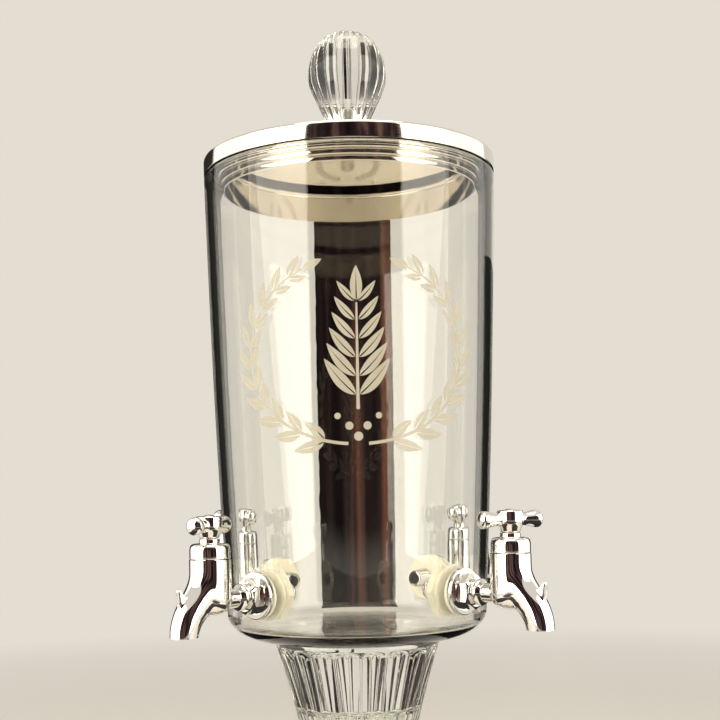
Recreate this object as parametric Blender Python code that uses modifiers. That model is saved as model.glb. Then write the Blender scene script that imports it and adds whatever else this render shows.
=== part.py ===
"""Absinthe fountain: a glass bowl on a fluted glass pedestal, a metal lid with a ribbed glass
knob, and four small screw-down taps. Metres, +Z up, origin at the centre of the pedestal's base."""

import math

import bmesh
import bpy
from mathutils import Matrix, Vector


# Clearances that every piece shares
TOUCH_GAP = 0.0003
RUNNING_GAP = 0.0003
CUT_OVERRUN = 0.003
MERGE_DISTANCE = 0.00001

# Pedestal: pressed glass, hollow from below
PEDESTAL_HEIGHT = 0.150
PEDESTAL_TOP_RADIUS = 0.0428
PEDESTAL_COLLAR_HEIGHT = 0.0024
PEDESTAL_WAIST_RADIUS = 0.024
PEDESTAL_WAIST_HEIGHT = 0.066
PEDESTAL_FOOT_RADIUS = 0.068
PEDESTAL_FOOT_EDGE = 0.006
PEDESTAL_WALL = 0.0055
PEDESTAL_TOP_THICKNESS = 0.034
PEDESTAL_RIM_WIDTH = 0.009
PEDESTAL_EDGE_ROUND = 0.0015
PEDESTAL_UPPER_POWER = 1.36
PEDESTAL_LOWER_POWER = 2.2
PEDESTAL_UPPER_SHARES = (1.0, 0.94, 0.74, 0.52, 0.31, 0.13)
PEDESTAL_LOWER_SHARES = (0.0, 0.17, 0.35, 0.52, 0.68, 0.83)
CAVITY_SHARES = (0.97, 0.66, 0.33, 0.10)
CAVITY_LOWER_SHARES = (0.12, 0.40, 0.62, 0.82, 1.0)
FLUTE_COUNT = 20
FLUTE_DEPTH = 0.0016
FLUTE_FADE = 0.004
FLUTE_POINTS = 3

# Bowl: clear glass
BOWL_HEIGHT = 0.2379
BOWL_RIM_RADIUS = 0.075
BOWL_FOOT_RADIUS = 0.0664
BOWL_BELLY = 0.0009
BOWL_WALL = 0.004
BOWL_FLOOR = 0.007
BOWL_CORNER_WIDTH = 0.0224
BOWL_CORNER_HEIGHT = 0.014
BOWL_CORNER_STEPS = 4
BOWL_INNER_CORNER_RADIUS = 0.006
BOWL_RIM_ROUND = 0.0017
BOWL_SIDES = 40

# Lid: spun metal, with a stepped ring below it that centres it in the rim
LID_BAND_HEIGHT = 0.0084
LID_BAND_WIDTH = 0.0046
LID_SHEET = 0.0012
LID_DOME_RISE = 0.0115
LID_EDGE_ROUND = 0.0016
DOME_SHARES = (0.4, 0.75)
SKIRT_CLEARANCE = 0.0026
SKIRT_STEP_IN = 0.0014
SKIRT_STEPS = 3
SKIRT_DEPTH = 0.0082
SKIRT_WALL = 0.0010
SKIRT_FLANGE_WIDTH = 0.006

# Knob: ribbed glass, with a cemented stud that a nut holds from below the lid
KNOB_HEIGHT = 0.0556
KNOB_RADIUS = 0.0202
KNOB_CENTRE_HEIGHT = 0.0330
KNOB_LOWER_REACH = 0.0273
KNOB_NECK_RADIUS = 0.0092
KNOB_NECK_HEIGHT = 0.0055
KNOB_FOOT_RADIUS = 0.0112
KNOB_FOOT_HEIGHT = 0.0026
KNOB_RIB_COUNT = 20
KNOB_RIB_DEPTH = 0.0007
KNOB_RIB_POINTS = 3
KNOB_RING_ANGLES_DEG = (80.0, 58.0, 34.0, 10.0, -14.0, -35.0)
STUD_RADIUS = 0.0025
STUD_DEPTH_IN_KNOB = 0.016
STUD_BELOW_NUT = 0.002
KNOB_WASHER_RADIUS = 0.0085
KNOB_WASHER_THICKNESS = 0.0010
KNOB_NUT_RADIUS = 0.0046
KNOB_NUT_HEIGHT = 0.0040
KNOB_NUT_CHAMFER = 0.0005

# Taps: where they sit, and how each handle stands when it is shut
TAP_ABOVE_BOWL_FOOT = 0.0267
TAP_OUT_FROM_GLASS = 0.0307
TAP_AZIMUTHS_DEG = {"front_left": 225.0, "front_right": 315.0, "rear_left": 135.0, "rear_right": 45.0}
HANDLE_ANGLES_DEG = {"front_left": 22.6, "front_right": 64.0, "rear_left": 166.7, "rear_right": 12.0}

# Tap body: one casting with barrel, inlet, spout and bucket hook
BARREL_RADIUS = 0.0094
BARREL_TOP = 0.0190
BARREL_BOTTOM = -0.0070
BARREL_BOTTOM_RADIUS = 0.0040
BARREL_CHIN_RADIUS = 0.0078
BARREL_CHIN_HEIGHT = 0.0016
BARREL_CHEEK_HEIGHT = 0.0047
CHAMBER_RADIUS = 0.0065
CHAMBER_FLOOR = 0.0050
SEAT_HEIGHT = 0.0010
SEAT_LIP_RADIUS = 0.0036
SEAT_BORE_RADIUS = 0.0024
INLET_BORE_RADIUS = 0.0029
INLET_NECK_RADIUS = 0.0047
INLET_BEAD_RADIUS = 0.0065
INLET_BEAD_LENGTH = 0.0052
INLET_BEAD_FLAT = 0.0018
INLET_HEX_RADIUS = 0.0087
INLET_HEX_LENGTH = 0.0066
INLET_HEX_CHAMFER = 0.0011
FLANGE_RADIUS = 0.0115
FLANGE_THICKNESS = 0.0026
FLANGE_EDGE = 0.0007
STUB_RADIUS = 0.0047
STUB_BEYOND_NUT = 0.0088
SPOUT_REACH = 0.0160
SPOUT_DROP = 0.0155
SPOUT_ROOT_REACH = 0.0009
SPOUT_ROOT_HEIGHT = 0.0130
SPOUT_SHOULDER_REACH = 0.0016
SPOUT_SHOULDER_HEIGHT = 0.0010
SPOUT_BEND_REACH = 0.0152
SPOUT_BEND_DROP = 0.0022
SPOUT_ROOT_RADIUS = 0.0082
SPOUT_TIP_RADIUS = 0.0061
SPOUT_BORE_START_REACH = 0.0060
SPOUT_BORE_START_HEIGHT = 0.0082
SPOUT_BORE_SHOULDER_HEIGHT = 0.0008
SPOUT_BORE_ROOT_RADIUS = 0.0019
SPOUT_BORE_TIP_RADIUS = 0.0038
HOOK_TOP = 0.0063
HOOK_FOOT = -0.0060
HOOK_OUTSIDE = 0.0192
HOOK_TIP_DEPTH = 0.0011
HOOK_ROOT_DEPTH = 0.0062
HOOK_TIP_WIDTH = 0.0018
HOOK_ROOT_WIDTH = 0.0038

# Valve: bonnet, spindle, ring, jumper and washer
BONNET_SHOULDER_HEIGHT = 0.0070
BONNET_ROUND = 0.0016
BONNET_NECK_RADIUS = 0.0048
BONNET_NECK_HEIGHT = 0.0022
BONNET_THREAD_RADIUS = 0.0061
BONNET_THREAD_DEPTH = 0.0075
BONNET_GLAND_THICKNESS = 0.0034
SPINDLE_RADIUS = 0.0030
SPINDLE_THREAD_RADIUS = 0.0042
SPINDLE_THREAD_LENGTH = 0.0100
SPINDLE_TIP_RADIUS = 0.0022
SPINDLE_TIP_LENGTH = 0.0050
SPINDLE_SOCKET_DEPTH = 0.0045
O_RING_SECTION = 0.0004
O_RING_HEIGHT = 0.0009
O_RING_GROOVE_DEPTH = 0.0012
JUMPER_RADIUS = 0.0044
JUMPER_THICKNESS = 0.0013
JUMPER_STEM_RADIUS = 0.0012
JUMPER_STEM_LENGTH = 0.0042
SEAT_WASHER_RADIUS = 0.0042
SEAT_WASHER_THICKNESS = 0.0018

# Handle: hub with a T-bar, and the screw in its top
HUB_RADIUS = 0.0062
HUB_BASE_RADIUS = 0.0046
HUB_HEIGHT = 0.0098
HUB_LIFT = 0.0006
HUB_ROUND = 0.0008
HUB_WAIST_RADIUS = 0.0061
HUB_WAIST_DROP = 0.0059
T_BAR_HALF_LENGTH = 0.0156
T_BAR_WAIST_RADIUS = 0.0029
T_BAR_END_RADIUS = 0.0041
T_BAR_DROP = 0.0042
T_BAR_LENGTH_SHARES = (1.0, 0.92, 0.68, 0.42)
T_BAR_FLARE_SHARES = (0.72, 1.0, 0.6, 0.0)
CAP_SCREW_RADIUS = 0.0030
CAP_SCREW_HEAD = 0.0014
CAP_SCREW_FACE_RADIUS = 0.0021
CAP_SCREW_EDGE = 0.0006
CAP_SCREW_DOME = 0.0012
CAP_SCREW_SHANK_RADIUS = 0.0011
CAP_SCREW_SHANK = 0.0032

# Gaskets and the nylon back nut on the stub
OUTER_GASKET_RADIUS = 0.0113
OUTER_GASKET_THICKNESS = 0.0012
INNER_GASKET_RADIUS = 0.0126
INNER_GASKET_THICKNESS = 0.0026
GLASS_HOLE_RADIUS = 0.0060
BACK_NUT_RADIUS = 0.0136
BACK_NUT_THICKNESS = 0.0046
BACK_NUT_CHAMFER = 0.0011

# Sides of the round pieces
LARGE_SIDES = 40
CAVITY_SIDES = 24
FLANGE_SIDES = 14
BARREL_SIDES = 14
SMALL_SIDES = 8
SPOUT_STEPS = 6
SPOUT_SIDES = 10
SPOUT_BORE_SIDES = 8
HEXAGON_SIDES = 6
SMOOTH_ANGLE = math.radians(40.0)

# Heights that follow from the sizes above
BOWL_BASE = PEDESTAL_HEIGHT + TOUCH_GAP
BOWL_RIM = BOWL_BASE + BOWL_HEIGHT
TAP_HEIGHT = BOWL_BASE + TAP_ABOVE_BOWL_FOOT
LID_BASE = BOWL_RIM + TOUCH_GAP
SKIRT_RADIUS = BOWL_RIM_RADIUS - BOWL_WALL - SKIRT_CLEARANCE
LID_CROWN = LID_BASE + LID_BAND_HEIGHT + LID_DOME_RISE
KNOB_BASE = LID_CROWN + TOUCH_GAP
BONNET_BASE = BARREL_TOP + TOUCH_GAP
BONNET_TOP = BONNET_BASE + BONNET_SHOULDER_HEIGHT + BONNET_NECK_HEIGHT
BONNET_FOOT = BONNET_BASE - BONNET_THREAD_DEPTH
HUB_BASE = BONNET_TOP + HUB_LIFT
HUB_TOP = HUB_BASE + HUB_HEIGHT
SEAT_TOP = CHAMBER_FLOOR + SEAT_HEIGHT
SEAT_WASHER_BASE = SEAT_TOP + TOUCH_GAP
JUMPER_BASE = SEAT_WASHER_BASE + SEAT_WASHER_THICKNESS + TOUCH_GAP
SPINDLE_BASE = JUMPER_BASE + JUMPER_THICKNESS + TOUCH_GAP
SPINDLE_THREAD_TOP = SPINDLE_BASE + SPINDLE_THREAD_LENGTH


def bowl_radius(height):
    """Outer radius of the bowl at a height above its underside: a taper with a slight belly."""
    share = height / BOWL_HEIGHT
    taper = BOWL_FOOT_RADIUS + (BOWL_RIM_RADIUS - BOWL_FOOT_RADIUS) * share
    return taper + BOWL_BELLY * math.sin(math.pi * share)


# How far out each tap stands, and radial places along its inlet, measured from its own upright axis
TAP_REACH = bowl_radius(TAP_ABOVE_BOWL_FOOT) + TAP_OUT_FROM_GLASS
GLASS_OUTSIDE = -TAP_OUT_FROM_GLASS
GLASS_INSIDE = GLASS_OUTSIDE - BOWL_WALL
FLANGE_FACE = GLASS_OUTSIDE + OUTER_GASKET_THICKNESS + TOUCH_GAP
NUT_FACE = GLASS_INSIDE - INNER_GASKET_THICKNESS - TOUCH_GAP
NUT_END = NUT_FACE - BACK_NUT_THICKNESS
STUB_END = NUT_END - STUB_BEYOND_NUT


def new_collection(name):
    collection = bpy.data.collections.new(name)
    bpy.context.scene.collection.children.link(collection)
    return collection


for old_object in list(bpy.data.objects):
    bpy.data.objects.remove(old_object)
PARTS = new_collection("absinthe_fountain")
CUTTERS = new_collection("cutters")


def finish(name, colour, roughness, metallic=0.0, transmission=0.0):
    """A Principled material in plain linear colour."""
    material = bpy.data.materials.new(name)
    material.use_nodes = True
    shader = material.node_tree.nodes["Principled BSDF"]
    shader.inputs["Base Color"].default_value = (*colour, 1.0)
    shader.inputs["Roughness"].default_value = roughness
    shader.inputs["Metallic"].default_value = metallic
    shader.inputs["Transmission Weight"].default_value = transmission
    return material


CLEAR_GLASS = finish("clear_glass", (0.93, 0.94, 0.92), 0.03, transmission=1.0)
PRESSED_GLASS = finish("pressed_glass", (0.92, 0.93, 0.90), 0.05, transmission=1.0)
POLISHED_LID = finish("polished_lid_metal", (0.78, 0.74, 0.68), 0.14, metallic=1.0)
CHROME = finish("chrome_plate", (0.82, 0.82, 0.83), 0.06, metallic=1.0)
STEEL = finish("stainless_steel", (0.60, 0.59, 0.57), 0.30, metallic=1.0)
BRASS = finish("brass", (0.72, 0.52, 0.22), 0.30, metallic=1.0)
NYLON = finish("natural_nylon", (0.80, 0.76, 0.62), 0.45)
RUBBER = finish("black_rubber", (0.03, 0.03, 0.03), 0.70)


def add_object(name, mesh, material, collection=PARTS):
    piece = bpy.data.objects.new(name, mesh)
    collection.objects.link(piece)
    if material is not None and not mesh.materials:
        mesh.materials.append(material)
    return piece


def arc(centre_radius, centre_height, radius, start_deg, end_deg, steps, rise=None):
    """Points on a round stretch of a profile; angles run from +X towards +Z.
    With a rise of its own it is part of an ellipse."""
    points = []
    rise = rise or radius
    for index in range(steps + 1):
        angle = math.radians(start_deg + (end_deg - start_deg) * index / steps)
        points.append((centre_radius + radius * math.cos(angle), centre_height + rise * math.sin(angle)))
    return points


def turned(name, profile, sides, material, ring=False, collection=PARTS):
    """A turned piece: the profile runs down its outer side, and a Screw modifier turns it.
    A ring's profile is a closed loop; the others start and end on the axis."""
    mesh = bpy.data.meshes.new(name)
    verts = [(radius, 0.0, height) for radius, height in profile]
    edges = [(index, index + 1) for index in range(len(verts) - 1)]
    if ring:
        edges.append((len(verts) - 1, 0))
    mesh.from_pydata(verts, edges, [])
    piece = add_object(name, mesh, material, collection)
    screw = piece.modifiers.new("turn", "SCREW")
    screw.steps = sides
    screw.render_steps = sides
    screw.use_merge_vertices = True
    screw.merge_threshold = MERGE_DISTANCE
    return piece


def hole_radius(shaft_radius, gap, sides):
    """Corner radius of a faceted round hole whose flats clear the shaft by the gap."""
    return (shaft_radius + gap) / math.cos(math.pi / sides)


def disc_profile(radius, bottom, top):
    """A plain cylinder's profile, from the axis at the top round to the axis at the bottom."""
    return [(0.0, top), (radius, top), (radius, bottom), (0.0, bottom)]


def ring_profile(inner, outer, bottom, top):
    return [(inner, top), (outer, top), (outer, bottom), (inner, bottom)]


def fluted(name, rings, material):
    """A loft through rings of points, closed at each end by a fan round a point on the axis."""
    count = len(rings[0])
    shape = bmesh.new()
    loops = [[shape.verts.new(point) for point in ring] for ring in rings]
    for upper, lower in zip(loops, loops[1:]):
        for index in range(count):
            following = (index + 1) % count
            shape.faces.new((upper[index], lower[index], lower[following], upper[following]))
    top = shape.verts.new((0.0, 0.0, rings[0][0].z))
    bottom = shape.verts.new((0.0, 0.0, rings[-1][0].z))
    for index in range(count):
        following = (index + 1) % count
        shape.faces.new((top, loops[0][index], loops[0][following]))
        shape.faces.new((bottom, loops[-1][following], loops[-1][index]))
    mesh = bpy.data.meshes.new(name)
    shape.to_mesh(mesh)
    shape.free()
    return add_object(name, mesh, material)


def fluted_ring(radius, height, depth, flutes, points_each):
    """One ring with hollow flutes between sharp ridges; a ridge stands on the -Y side."""
    ring = []
    for index in range(flutes * points_each):
        share = index / points_each
        hollow = depth * math.sin(math.pi * (share % 1.0))
        angle = 2.0 * math.pi * share / flutes - math.pi / 2.0
        reach = radius - hollow
        ring.append(Vector((reach * math.cos(angle), reach * math.sin(angle), height)))
    return ring


def tube(name, points, radii, sides):
    """A round tube through points in the X-Z plane, as a closed mesh; its last end is level."""
    ways = [(later - sooner).normalized() for sooner, later in zip(points, points[1:])]
    facings = [ways[0]]
    facings += [(before + after).normalized() for before, after in zip(ways, ways[1:])]
    facings.append(Vector((0.0, 0.0, -1.0)))
    shape = bmesh.new()
    loops = []
    for point, radius, facing in zip(points, radii, facings):
        sideways = Vector((0.0, 1.0, 0.0))
        outward = facing.cross(sideways)
        loop = []
        for index in range(sides):
            angle = 2.0 * math.pi * index / sides
            offset = outward * (radius * math.cos(angle)) + sideways * (radius * math.sin(angle))
            loop.append(shape.verts.new(point + offset))
        loops.append(loop)
    for upper, lower in zip(loops, loops[1:]):
        for index in range(sides):
            following = (index + 1) % sides
            shape.faces.new((upper[index], upper[following], lower[following], lower[index]))
    shape.faces.new(list(reversed(loops[0])))
    shape.faces.new(loops[-1])
    bmesh.ops.recalc_face_normals(shape, faces=shape.faces)
    mesh = bpy.data.meshes.new(name)
    shape.to_mesh(mesh)
    shape.free()
    return add_object(name, mesh, None, CUTTERS)


def evaluated_mesh(piece):
    bpy.context.view_layer.update()
    depsgraph = bpy.context.evaluated_depsgraph_get()
    return bpy.data.meshes.new_from_object(piece.evaluated_get(depsgraph))


def boolean(piece, tool, operation):
    """Join or cut with the EXACT solver; the tool goes with the cutters and stays out of the model."""
    modifier = piece.modifiers.new(operation.lower(), "BOOLEAN")
    modifier.operation = operation
    modifier.object = tool
    tool.hide_render = True
    tool.display_type = "WIRE"


def as_mesh(name, piece, tools, material):
    """Settle a piece with its modifiers into one mesh, which the four taps then share."""
    mesh = evaluated_mesh(piece)
    mesh.name = name
    mesh.materials.clear()
    mesh.materials.append(material)
    for used in [piece, *tools]:
        bpy.data.objects.remove(used)
    smooth(mesh)
    return mesh


def smooth(mesh):
    mesh.shade_smooth()
    mesh.set_sharp_from_angle(angle=SMOOTH_ANGLE)


def turned_mesh(name, profile, sides, material, ring=False):
    return as_mesh(name, turned(name, profile, sides, material, ring, CUTTERS), [], material)


def laid_along_inlet(piece):
    """Lay a piece that was turned about Z along the inlet, so that its height becomes the radial place."""
    piece.rotation_euler = (0.0, math.pi / 2.0, 0.0)
    return piece


# Bowl

def bowl_inner_radius(height):
    return bowl_radius(height) - BOWL_WALL


def wall_points(radius_at, low, high, steps, offset=0.0):
    """Points up a wall from low to high, both above the bowl's underside."""
    points = []
    for index in range(steps + 1):
        height = low + (high - low) * index / steps
        points.append((radius_at(height) + offset, BOWL_BASE + height))
    return points


def bowl_profile():
    inner_low = BOWL_FLOOR + BOWL_INNER_CORNER_RADIUS
    rim_low = BOWL_HEIGHT - BOWL_RIM_ROUND
    inner_corner = bowl_inner_radius(inner_low) - BOWL_INNER_CORNER_RADIUS
    outer_corner = bowl_radius(BOWL_CORNER_HEIGHT) - BOWL_CORNER_WIDTH
    profile = [(0.0, BOWL_BASE + BOWL_FLOOR)]
    profile += arc(inner_corner, BOWL_BASE + inner_low, BOWL_INNER_CORNER_RADIUS, -90.0, 0.0, 2)
    profile += wall_points(bowl_inner_radius, inner_low, rim_low, 2)[1:]
    inner_lip = bowl_inner_radius(rim_low) + BOWL_RIM_ROUND
    outer_lip = bowl_radius(rim_low) - BOWL_RIM_ROUND
    profile += arc(inner_lip, BOWL_BASE + rim_low, BOWL_RIM_ROUND, 180.0, 90.0, 2)[1:]
    profile += arc(outer_lip, BOWL_BASE + rim_low, BOWL_RIM_ROUND, 90.0, 0.0, 2)
    profile += wall_points(bowl_radius, rim_low, BOWL_CORNER_HEIGHT, 3)[1:]
    low_corner = arc(outer_corner, BOWL_BASE + BOWL_CORNER_HEIGHT, BOWL_CORNER_WIDTH, 0.0, -90.0,
                     BOWL_CORNER_STEPS, BOWL_CORNER_HEIGHT)
    profile += low_corner[1:]
    profile.append((0.0, BOWL_BASE))
    return profile


def make_bowl():
    bowl = turned("bowl", bowl_profile(), BOWL_SIDES, CLEAR_GLASS)
    for side, azimuth in TAP_AZIMUTHS_DEG.items():
        half_length = BOWL_WALL + CUT_OVERRUN
        profile = disc_profile(GLASS_HOLE_RADIUS, -half_length, half_length)
        drill = turned(f"{side}_drill", profile, FLANGE_SIDES, None, collection=CUTTERS)
        turn = Matrix.Rotation(math.radians(azimuth), 4, "Z")
        place = Matrix.Translation((TAP_REACH + GLASS_OUTSIDE - BOWL_WALL / 2.0, 0.0, TAP_HEIGHT))
        drill.matrix_world = turn @ place @ Matrix.Rotation(math.pi / 2.0, 4, "Y")
        boolean(bowl, drill, "DIFFERENCE")


# Pedestal

def pedestal_radius(height):
    """Outer radius at the ridges: it narrows from the collar to the waist and flares to the foot."""
    collar_base = PEDESTAL_HEIGHT - PEDESTAL_COLLAR_HEIGHT
    if height >= PEDESTAL_WAIST_HEIGHT:
        share = min(1.0, (height - PEDESTAL_WAIST_HEIGHT) / (collar_base - PEDESTAL_WAIST_HEIGHT))
        flare = share ** PEDESTAL_UPPER_POWER
        return PEDESTAL_WAIST_RADIUS + (PEDESTAL_TOP_RADIUS - PEDESTAL_WAIST_RADIUS) * flare
    share = (PEDESTAL_WAIST_HEIGHT - height) / (PEDESTAL_WAIST_HEIGHT - PEDESTAL_FOOT_EDGE)
    flare = min(1.0, share) ** PEDESTAL_LOWER_POWER
    return PEDESTAL_WAIST_RADIUS + (PEDESTAL_FOOT_RADIUS - PEDESTAL_WAIST_RADIUS) * flare


def pedestal_rings():
    """The pedestal's rings from the collar down, with hollow flutes that fade in below the collar."""
    fluted_top = PEDESTAL_HEIGHT - PEDESTAL_COLLAR_HEIGHT
    count = (FLUTE_COUNT, FLUTE_POINTS)
    rings = [
        fluted_ring(PEDESTAL_TOP_RADIUS - PEDESTAL_EDGE_ROUND, PEDESTAL_HEIGHT, 0.0, *count),
        fluted_ring(PEDESTAL_TOP_RADIUS, PEDESTAL_HEIGHT - PEDESTAL_EDGE_ROUND, 0.0, *count),
    ]
    for share in PEDESTAL_UPPER_SHARES:
        height = PEDESTAL_WAIST_HEIGHT + (fluted_top - PEDESTAL_WAIST_HEIGHT) * share
        depth = FLUTE_DEPTH * min(1.0, (fluted_top - height) / FLUTE_FADE)
        rings.append(fluted_ring(pedestal_radius(height), height, depth, *count))
    for share in PEDESTAL_LOWER_SHARES:
        height = PEDESTAL_WAIST_HEIGHT - (PEDESTAL_WAIST_HEIGHT - PEDESTAL_FOOT_EDGE) * share
        rings.append(fluted_ring(pedestal_radius(height), height, FLUTE_DEPTH * (1.0 - share), *count))
    rings.append(fluted_ring(PEDESTAL_FOOT_RADIUS, PEDESTAL_FOOT_EDGE, 0.0, *count))
    rings.append(fluted_ring(PEDESTAL_FOOT_RADIUS, PEDESTAL_EDGE_ROUND, 0.0, *count))
    rings.append(fluted_ring(PEDESTAL_FOOT_RADIUS - PEDESTAL_EDGE_ROUND, 0.0, 0.0, *count))
    return rings


def cavity_profile():
    """The hollow inside the pedestal, a wall's thickness inside the outer surface."""
    ceiling = PEDESTAL_HEIGHT - PEDESTAL_TOP_THICKNESS
    profile = [(0.0, ceiling)]
    for share in CAVITY_SHARES:
        height = PEDESTAL_WAIST_HEIGHT + (ceiling - PEDESTAL_WAIST_HEIGHT) * share
        profile.append((pedestal_radius(height) - PEDESTAL_WALL, height))
    mouth = PEDESTAL_FOOT_RADIUS - PEDESTAL_RIM_WIDTH
    for share in CAVITY_LOWER_SHARES:
        height = PEDESTAL_WAIST_HEIGHT * (1.0 - share)
        reach = min(mouth, pedestal_radius(height + PEDESTAL_WALL * share) - PEDESTAL_WALL)
        profile.append((mouth if share == 1.0 else reach, height))
    profile.append((mouth, -CUT_OVERRUN))
    profile.append((0.0, -CUT_OVERRUN))
    return profile


def make_pedestal():
    pedestal = fluted("pedestal", pedestal_rings(), PRESSED_GLASS)
    smooth(pedestal.data)
    cavity = turned("pedestal_cavity", cavity_profile(), CAVITY_SIDES, None, collection=CUTTERS)
    boolean(pedestal, cavity, "DIFFERENCE")


# Lid

LID_INNER_RADIUS = BOWL_RIM_RADIUS - LID_BAND_WIDTH
LID_STUD_HOLE_RADIUS = hole_radius(STUD_RADIUS, RUNNING_GAP, FLANGE_SIDES)
LID_CEILING = LID_CROWN - LID_SHEET


def dome_height(radius, crown, edge_radius, edge_height):
    """A shallow dome: highest at the axis, and level with edge_height at edge_radius."""
    return edge_height + (crown - edge_height) * (1.0 - (radius / edge_radius) ** 2)


def lid_profile():
    band_top = LID_BASE + LID_BAND_HEIGHT
    dome_edge = BOWL_RIM_RADIUS - LID_EDGE_ROUND
    ceiling_edge = band_top - LID_SHEET
    profile = [(LID_STUD_HOLE_RADIUS, LID_CROWN)]
    for share in DOME_SHARES:
        radius = dome_edge * share
        profile.append((radius, dome_height(radius, LID_CROWN, dome_edge, band_top)))
    profile += arc(dome_edge, band_top - LID_EDGE_ROUND, LID_EDGE_ROUND, 90.0, 0.0, 2)
    profile.append((BOWL_RIM_RADIUS, LID_BASE))
    profile.append((LID_INNER_RADIUS, LID_BASE))
    profile.append((LID_INNER_RADIUS, ceiling_edge))
    for share in reversed(DOME_SHARES):
        radius = LID_INNER_RADIUS * share
        profile.append((radius, dome_height(radius, LID_CEILING, LID_INNER_RADIUS, ceiling_edge)))
    profile.append((LID_STUD_HOLE_RADIUS, LID_CEILING))
    return profile


def skirt_profile():
    """A pressed ring: a flange under the lid, and a wall that steps in three times on its way down."""
    top = LID_BASE + LID_BAND_HEIGHT - LID_SHEET - TOUCH_GAP
    bottom = BOWL_RIM - SKIRT_DEPTH
    step_height = SKIRT_DEPTH / SKIRT_STEPS
    outside = [(SKIRT_RADIUS, top)]
    for step in range(SKIRT_STEPS):
        radius = SKIRT_RADIUS - SKIRT_STEP_IN * step
        low = bottom + step_height * (SKIRT_STEPS - 1 - step)
        if step > 0:
            outside.append((radius, low + step_height - SKIRT_STEP_IN / 2.0))
        outside.append((radius, low))
    inner = SKIRT_RADIUS - SKIRT_STEP_IN * (SKIRT_STEPS - 1) - SKIRT_WALL
    inside = [(inner, bottom), (inner, top - SKIRT_WALL)]
    flange_inner = SKIRT_RADIUS - SKIRT_FLANGE_WIDTH
    return outside + inside + [(flange_inner, top - SKIRT_WALL), (flange_inner, top)]


def knob_outline():
    """Radius and height pairs from the crown to the neck, above the knob's foot."""
    pairs = []
    for angle_deg in KNOB_RING_ANGLES_DEG:
        angle = math.radians(angle_deg)
        reach = KNOB_HEIGHT - KNOB_CENTRE_HEIGHT if angle_deg > 0.0 else KNOB_LOWER_REACH
        pairs.append((KNOB_RADIUS * math.cos(angle), KNOB_CENTRE_HEIGHT + reach * math.sin(angle)))
    return pairs


def make_knob():
    count = (KNOB_RIB_COUNT, KNOB_RIB_POINTS)
    rings = []
    for radius, height in knob_outline():
        depth = KNOB_RIB_DEPTH * min(1.0, radius / KNOB_RADIUS)
        rings.append(fluted_ring(radius, KNOB_BASE + height, depth, *count))
    rings.append(fluted_ring(KNOB_NECK_RADIUS, KNOB_BASE + KNOB_NECK_HEIGHT, KNOB_RIB_DEPTH / 2.0, *count))
    rings.append(fluted_ring(KNOB_FOOT_RADIUS, KNOB_BASE + KNOB_FOOT_HEIGHT, 0.0, *count))
    rings.append(fluted_ring(KNOB_FOOT_RADIUS, KNOB_BASE, 0.0, *count))
    knob = fluted("knob", rings, PRESSED_GLASS)
    smooth(knob.data)
    hole_top = KNOB_BASE + STUD_DEPTH_IN_KNOB + TOUCH_GAP
    stud_room = hole_radius(STUD_RADIUS, TOUCH_GAP, SMALL_SIDES)
    profile = disc_profile(stud_room, KNOB_BASE - CUT_OVERRUN, hole_top)
    boolean(knob, turned("knob_hole", profile, SMALL_SIDES, None, collection=CUTTERS), "DIFFERENCE")


def make_lid_group():
    turned("lid", lid_profile(), LARGE_SIDES, POLISHED_LID, ring=True)
    turned("lid_skirt", skirt_profile(), LARGE_SIDES, POLISHED_LID, ring=True)
    make_knob()
    washer_top = LID_CEILING - TOUCH_GAP - ceiling_fall(KNOB_WASHER_RADIUS)
    washer_base = washer_top - KNOB_WASHER_THICKNESS
    nut_top = washer_base - TOUCH_GAP
    nut_base = nut_top - KNOB_NUT_HEIGHT
    stud = disc_profile(STUD_RADIUS, nut_base - STUD_BELOW_NUT, KNOB_BASE + STUD_DEPTH_IN_KNOB)
    turned("knob_stud", stud, SMALL_SIDES, STEEL)
    washer = ring_profile(LID_STUD_HOLE_RADIUS, KNOB_WASHER_RADIUS, washer_base, washer_top)
    turned("knob_washer", washer, FLANGE_SIDES, STEEL, ring=True)
    nut = nut_mesh("knob_nut", STUD_RADIUS, KNOB_NUT_RADIUS, nut_base, nut_top, KNOB_NUT_CHAMFER, STEEL)
    add_object("knob_nut", nut, STEEL)


def ceiling_fall(radius):
    """How far the lid's ceiling has dropped at a radius."""
    edge = LID_BASE + LID_BAND_HEIGHT - LID_SHEET
    return LID_CEILING - dome_height(radius, LID_CEILING, LID_INNER_RADIUS, edge)


def nut_mesh(name, shaft_radius, corner_radius, base, top, chamfer, material):
    """A hexagon nut, chamfered at both faces, bored to clear its shaft."""
    bore = hole_radius(shaft_radius, TOUCH_GAP, SMALL_SIDES)
    middle = [
        (0.0, top),
        (corner_radius - chamfer, top),
        (corner_radius, top - chamfer),
        (corner_radius, base + chamfer),
        (corner_radius - chamfer, base),
        (0.0, base),
    ]
    hexagon = turned(name, middle, HEXAGON_SIDES, material, collection=CUTTERS)
    drill_shape = disc_profile(bore, base - CUT_OVERRUN, top + CUT_OVERRUN)
    drill = turned(f"{name}_drill", drill_shape, SMALL_SIDES, None, collection=CUTTERS)
    boolean(hexagon, drill, "DIFFERENCE")
    return as_mesh(name, hexagon, [drill], material)


# Tap body, in the tap's own frame: the upright axis at the origin, +X away from the bowl

SPOUT_CORNERS = (
    (SPOUT_ROOT_REACH, SPOUT_ROOT_HEIGHT),
    (SPOUT_SHOULDER_REACH, SPOUT_SHOULDER_HEIGHT),
    (SPOUT_BEND_REACH, -SPOUT_BEND_DROP),
    (SPOUT_REACH, -SPOUT_DROP),
)


SPOUT_BORE_CORNERS = (
    (SPOUT_BORE_START_REACH, SPOUT_BORE_START_HEIGHT),
    (SPOUT_BORE_START_REACH, SPOUT_BORE_SHOULDER_HEIGHT),
    (SPOUT_BEND_REACH, -SPOUT_BEND_DROP),
    (SPOUT_REACH, -SPOUT_DROP),
)


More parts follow.
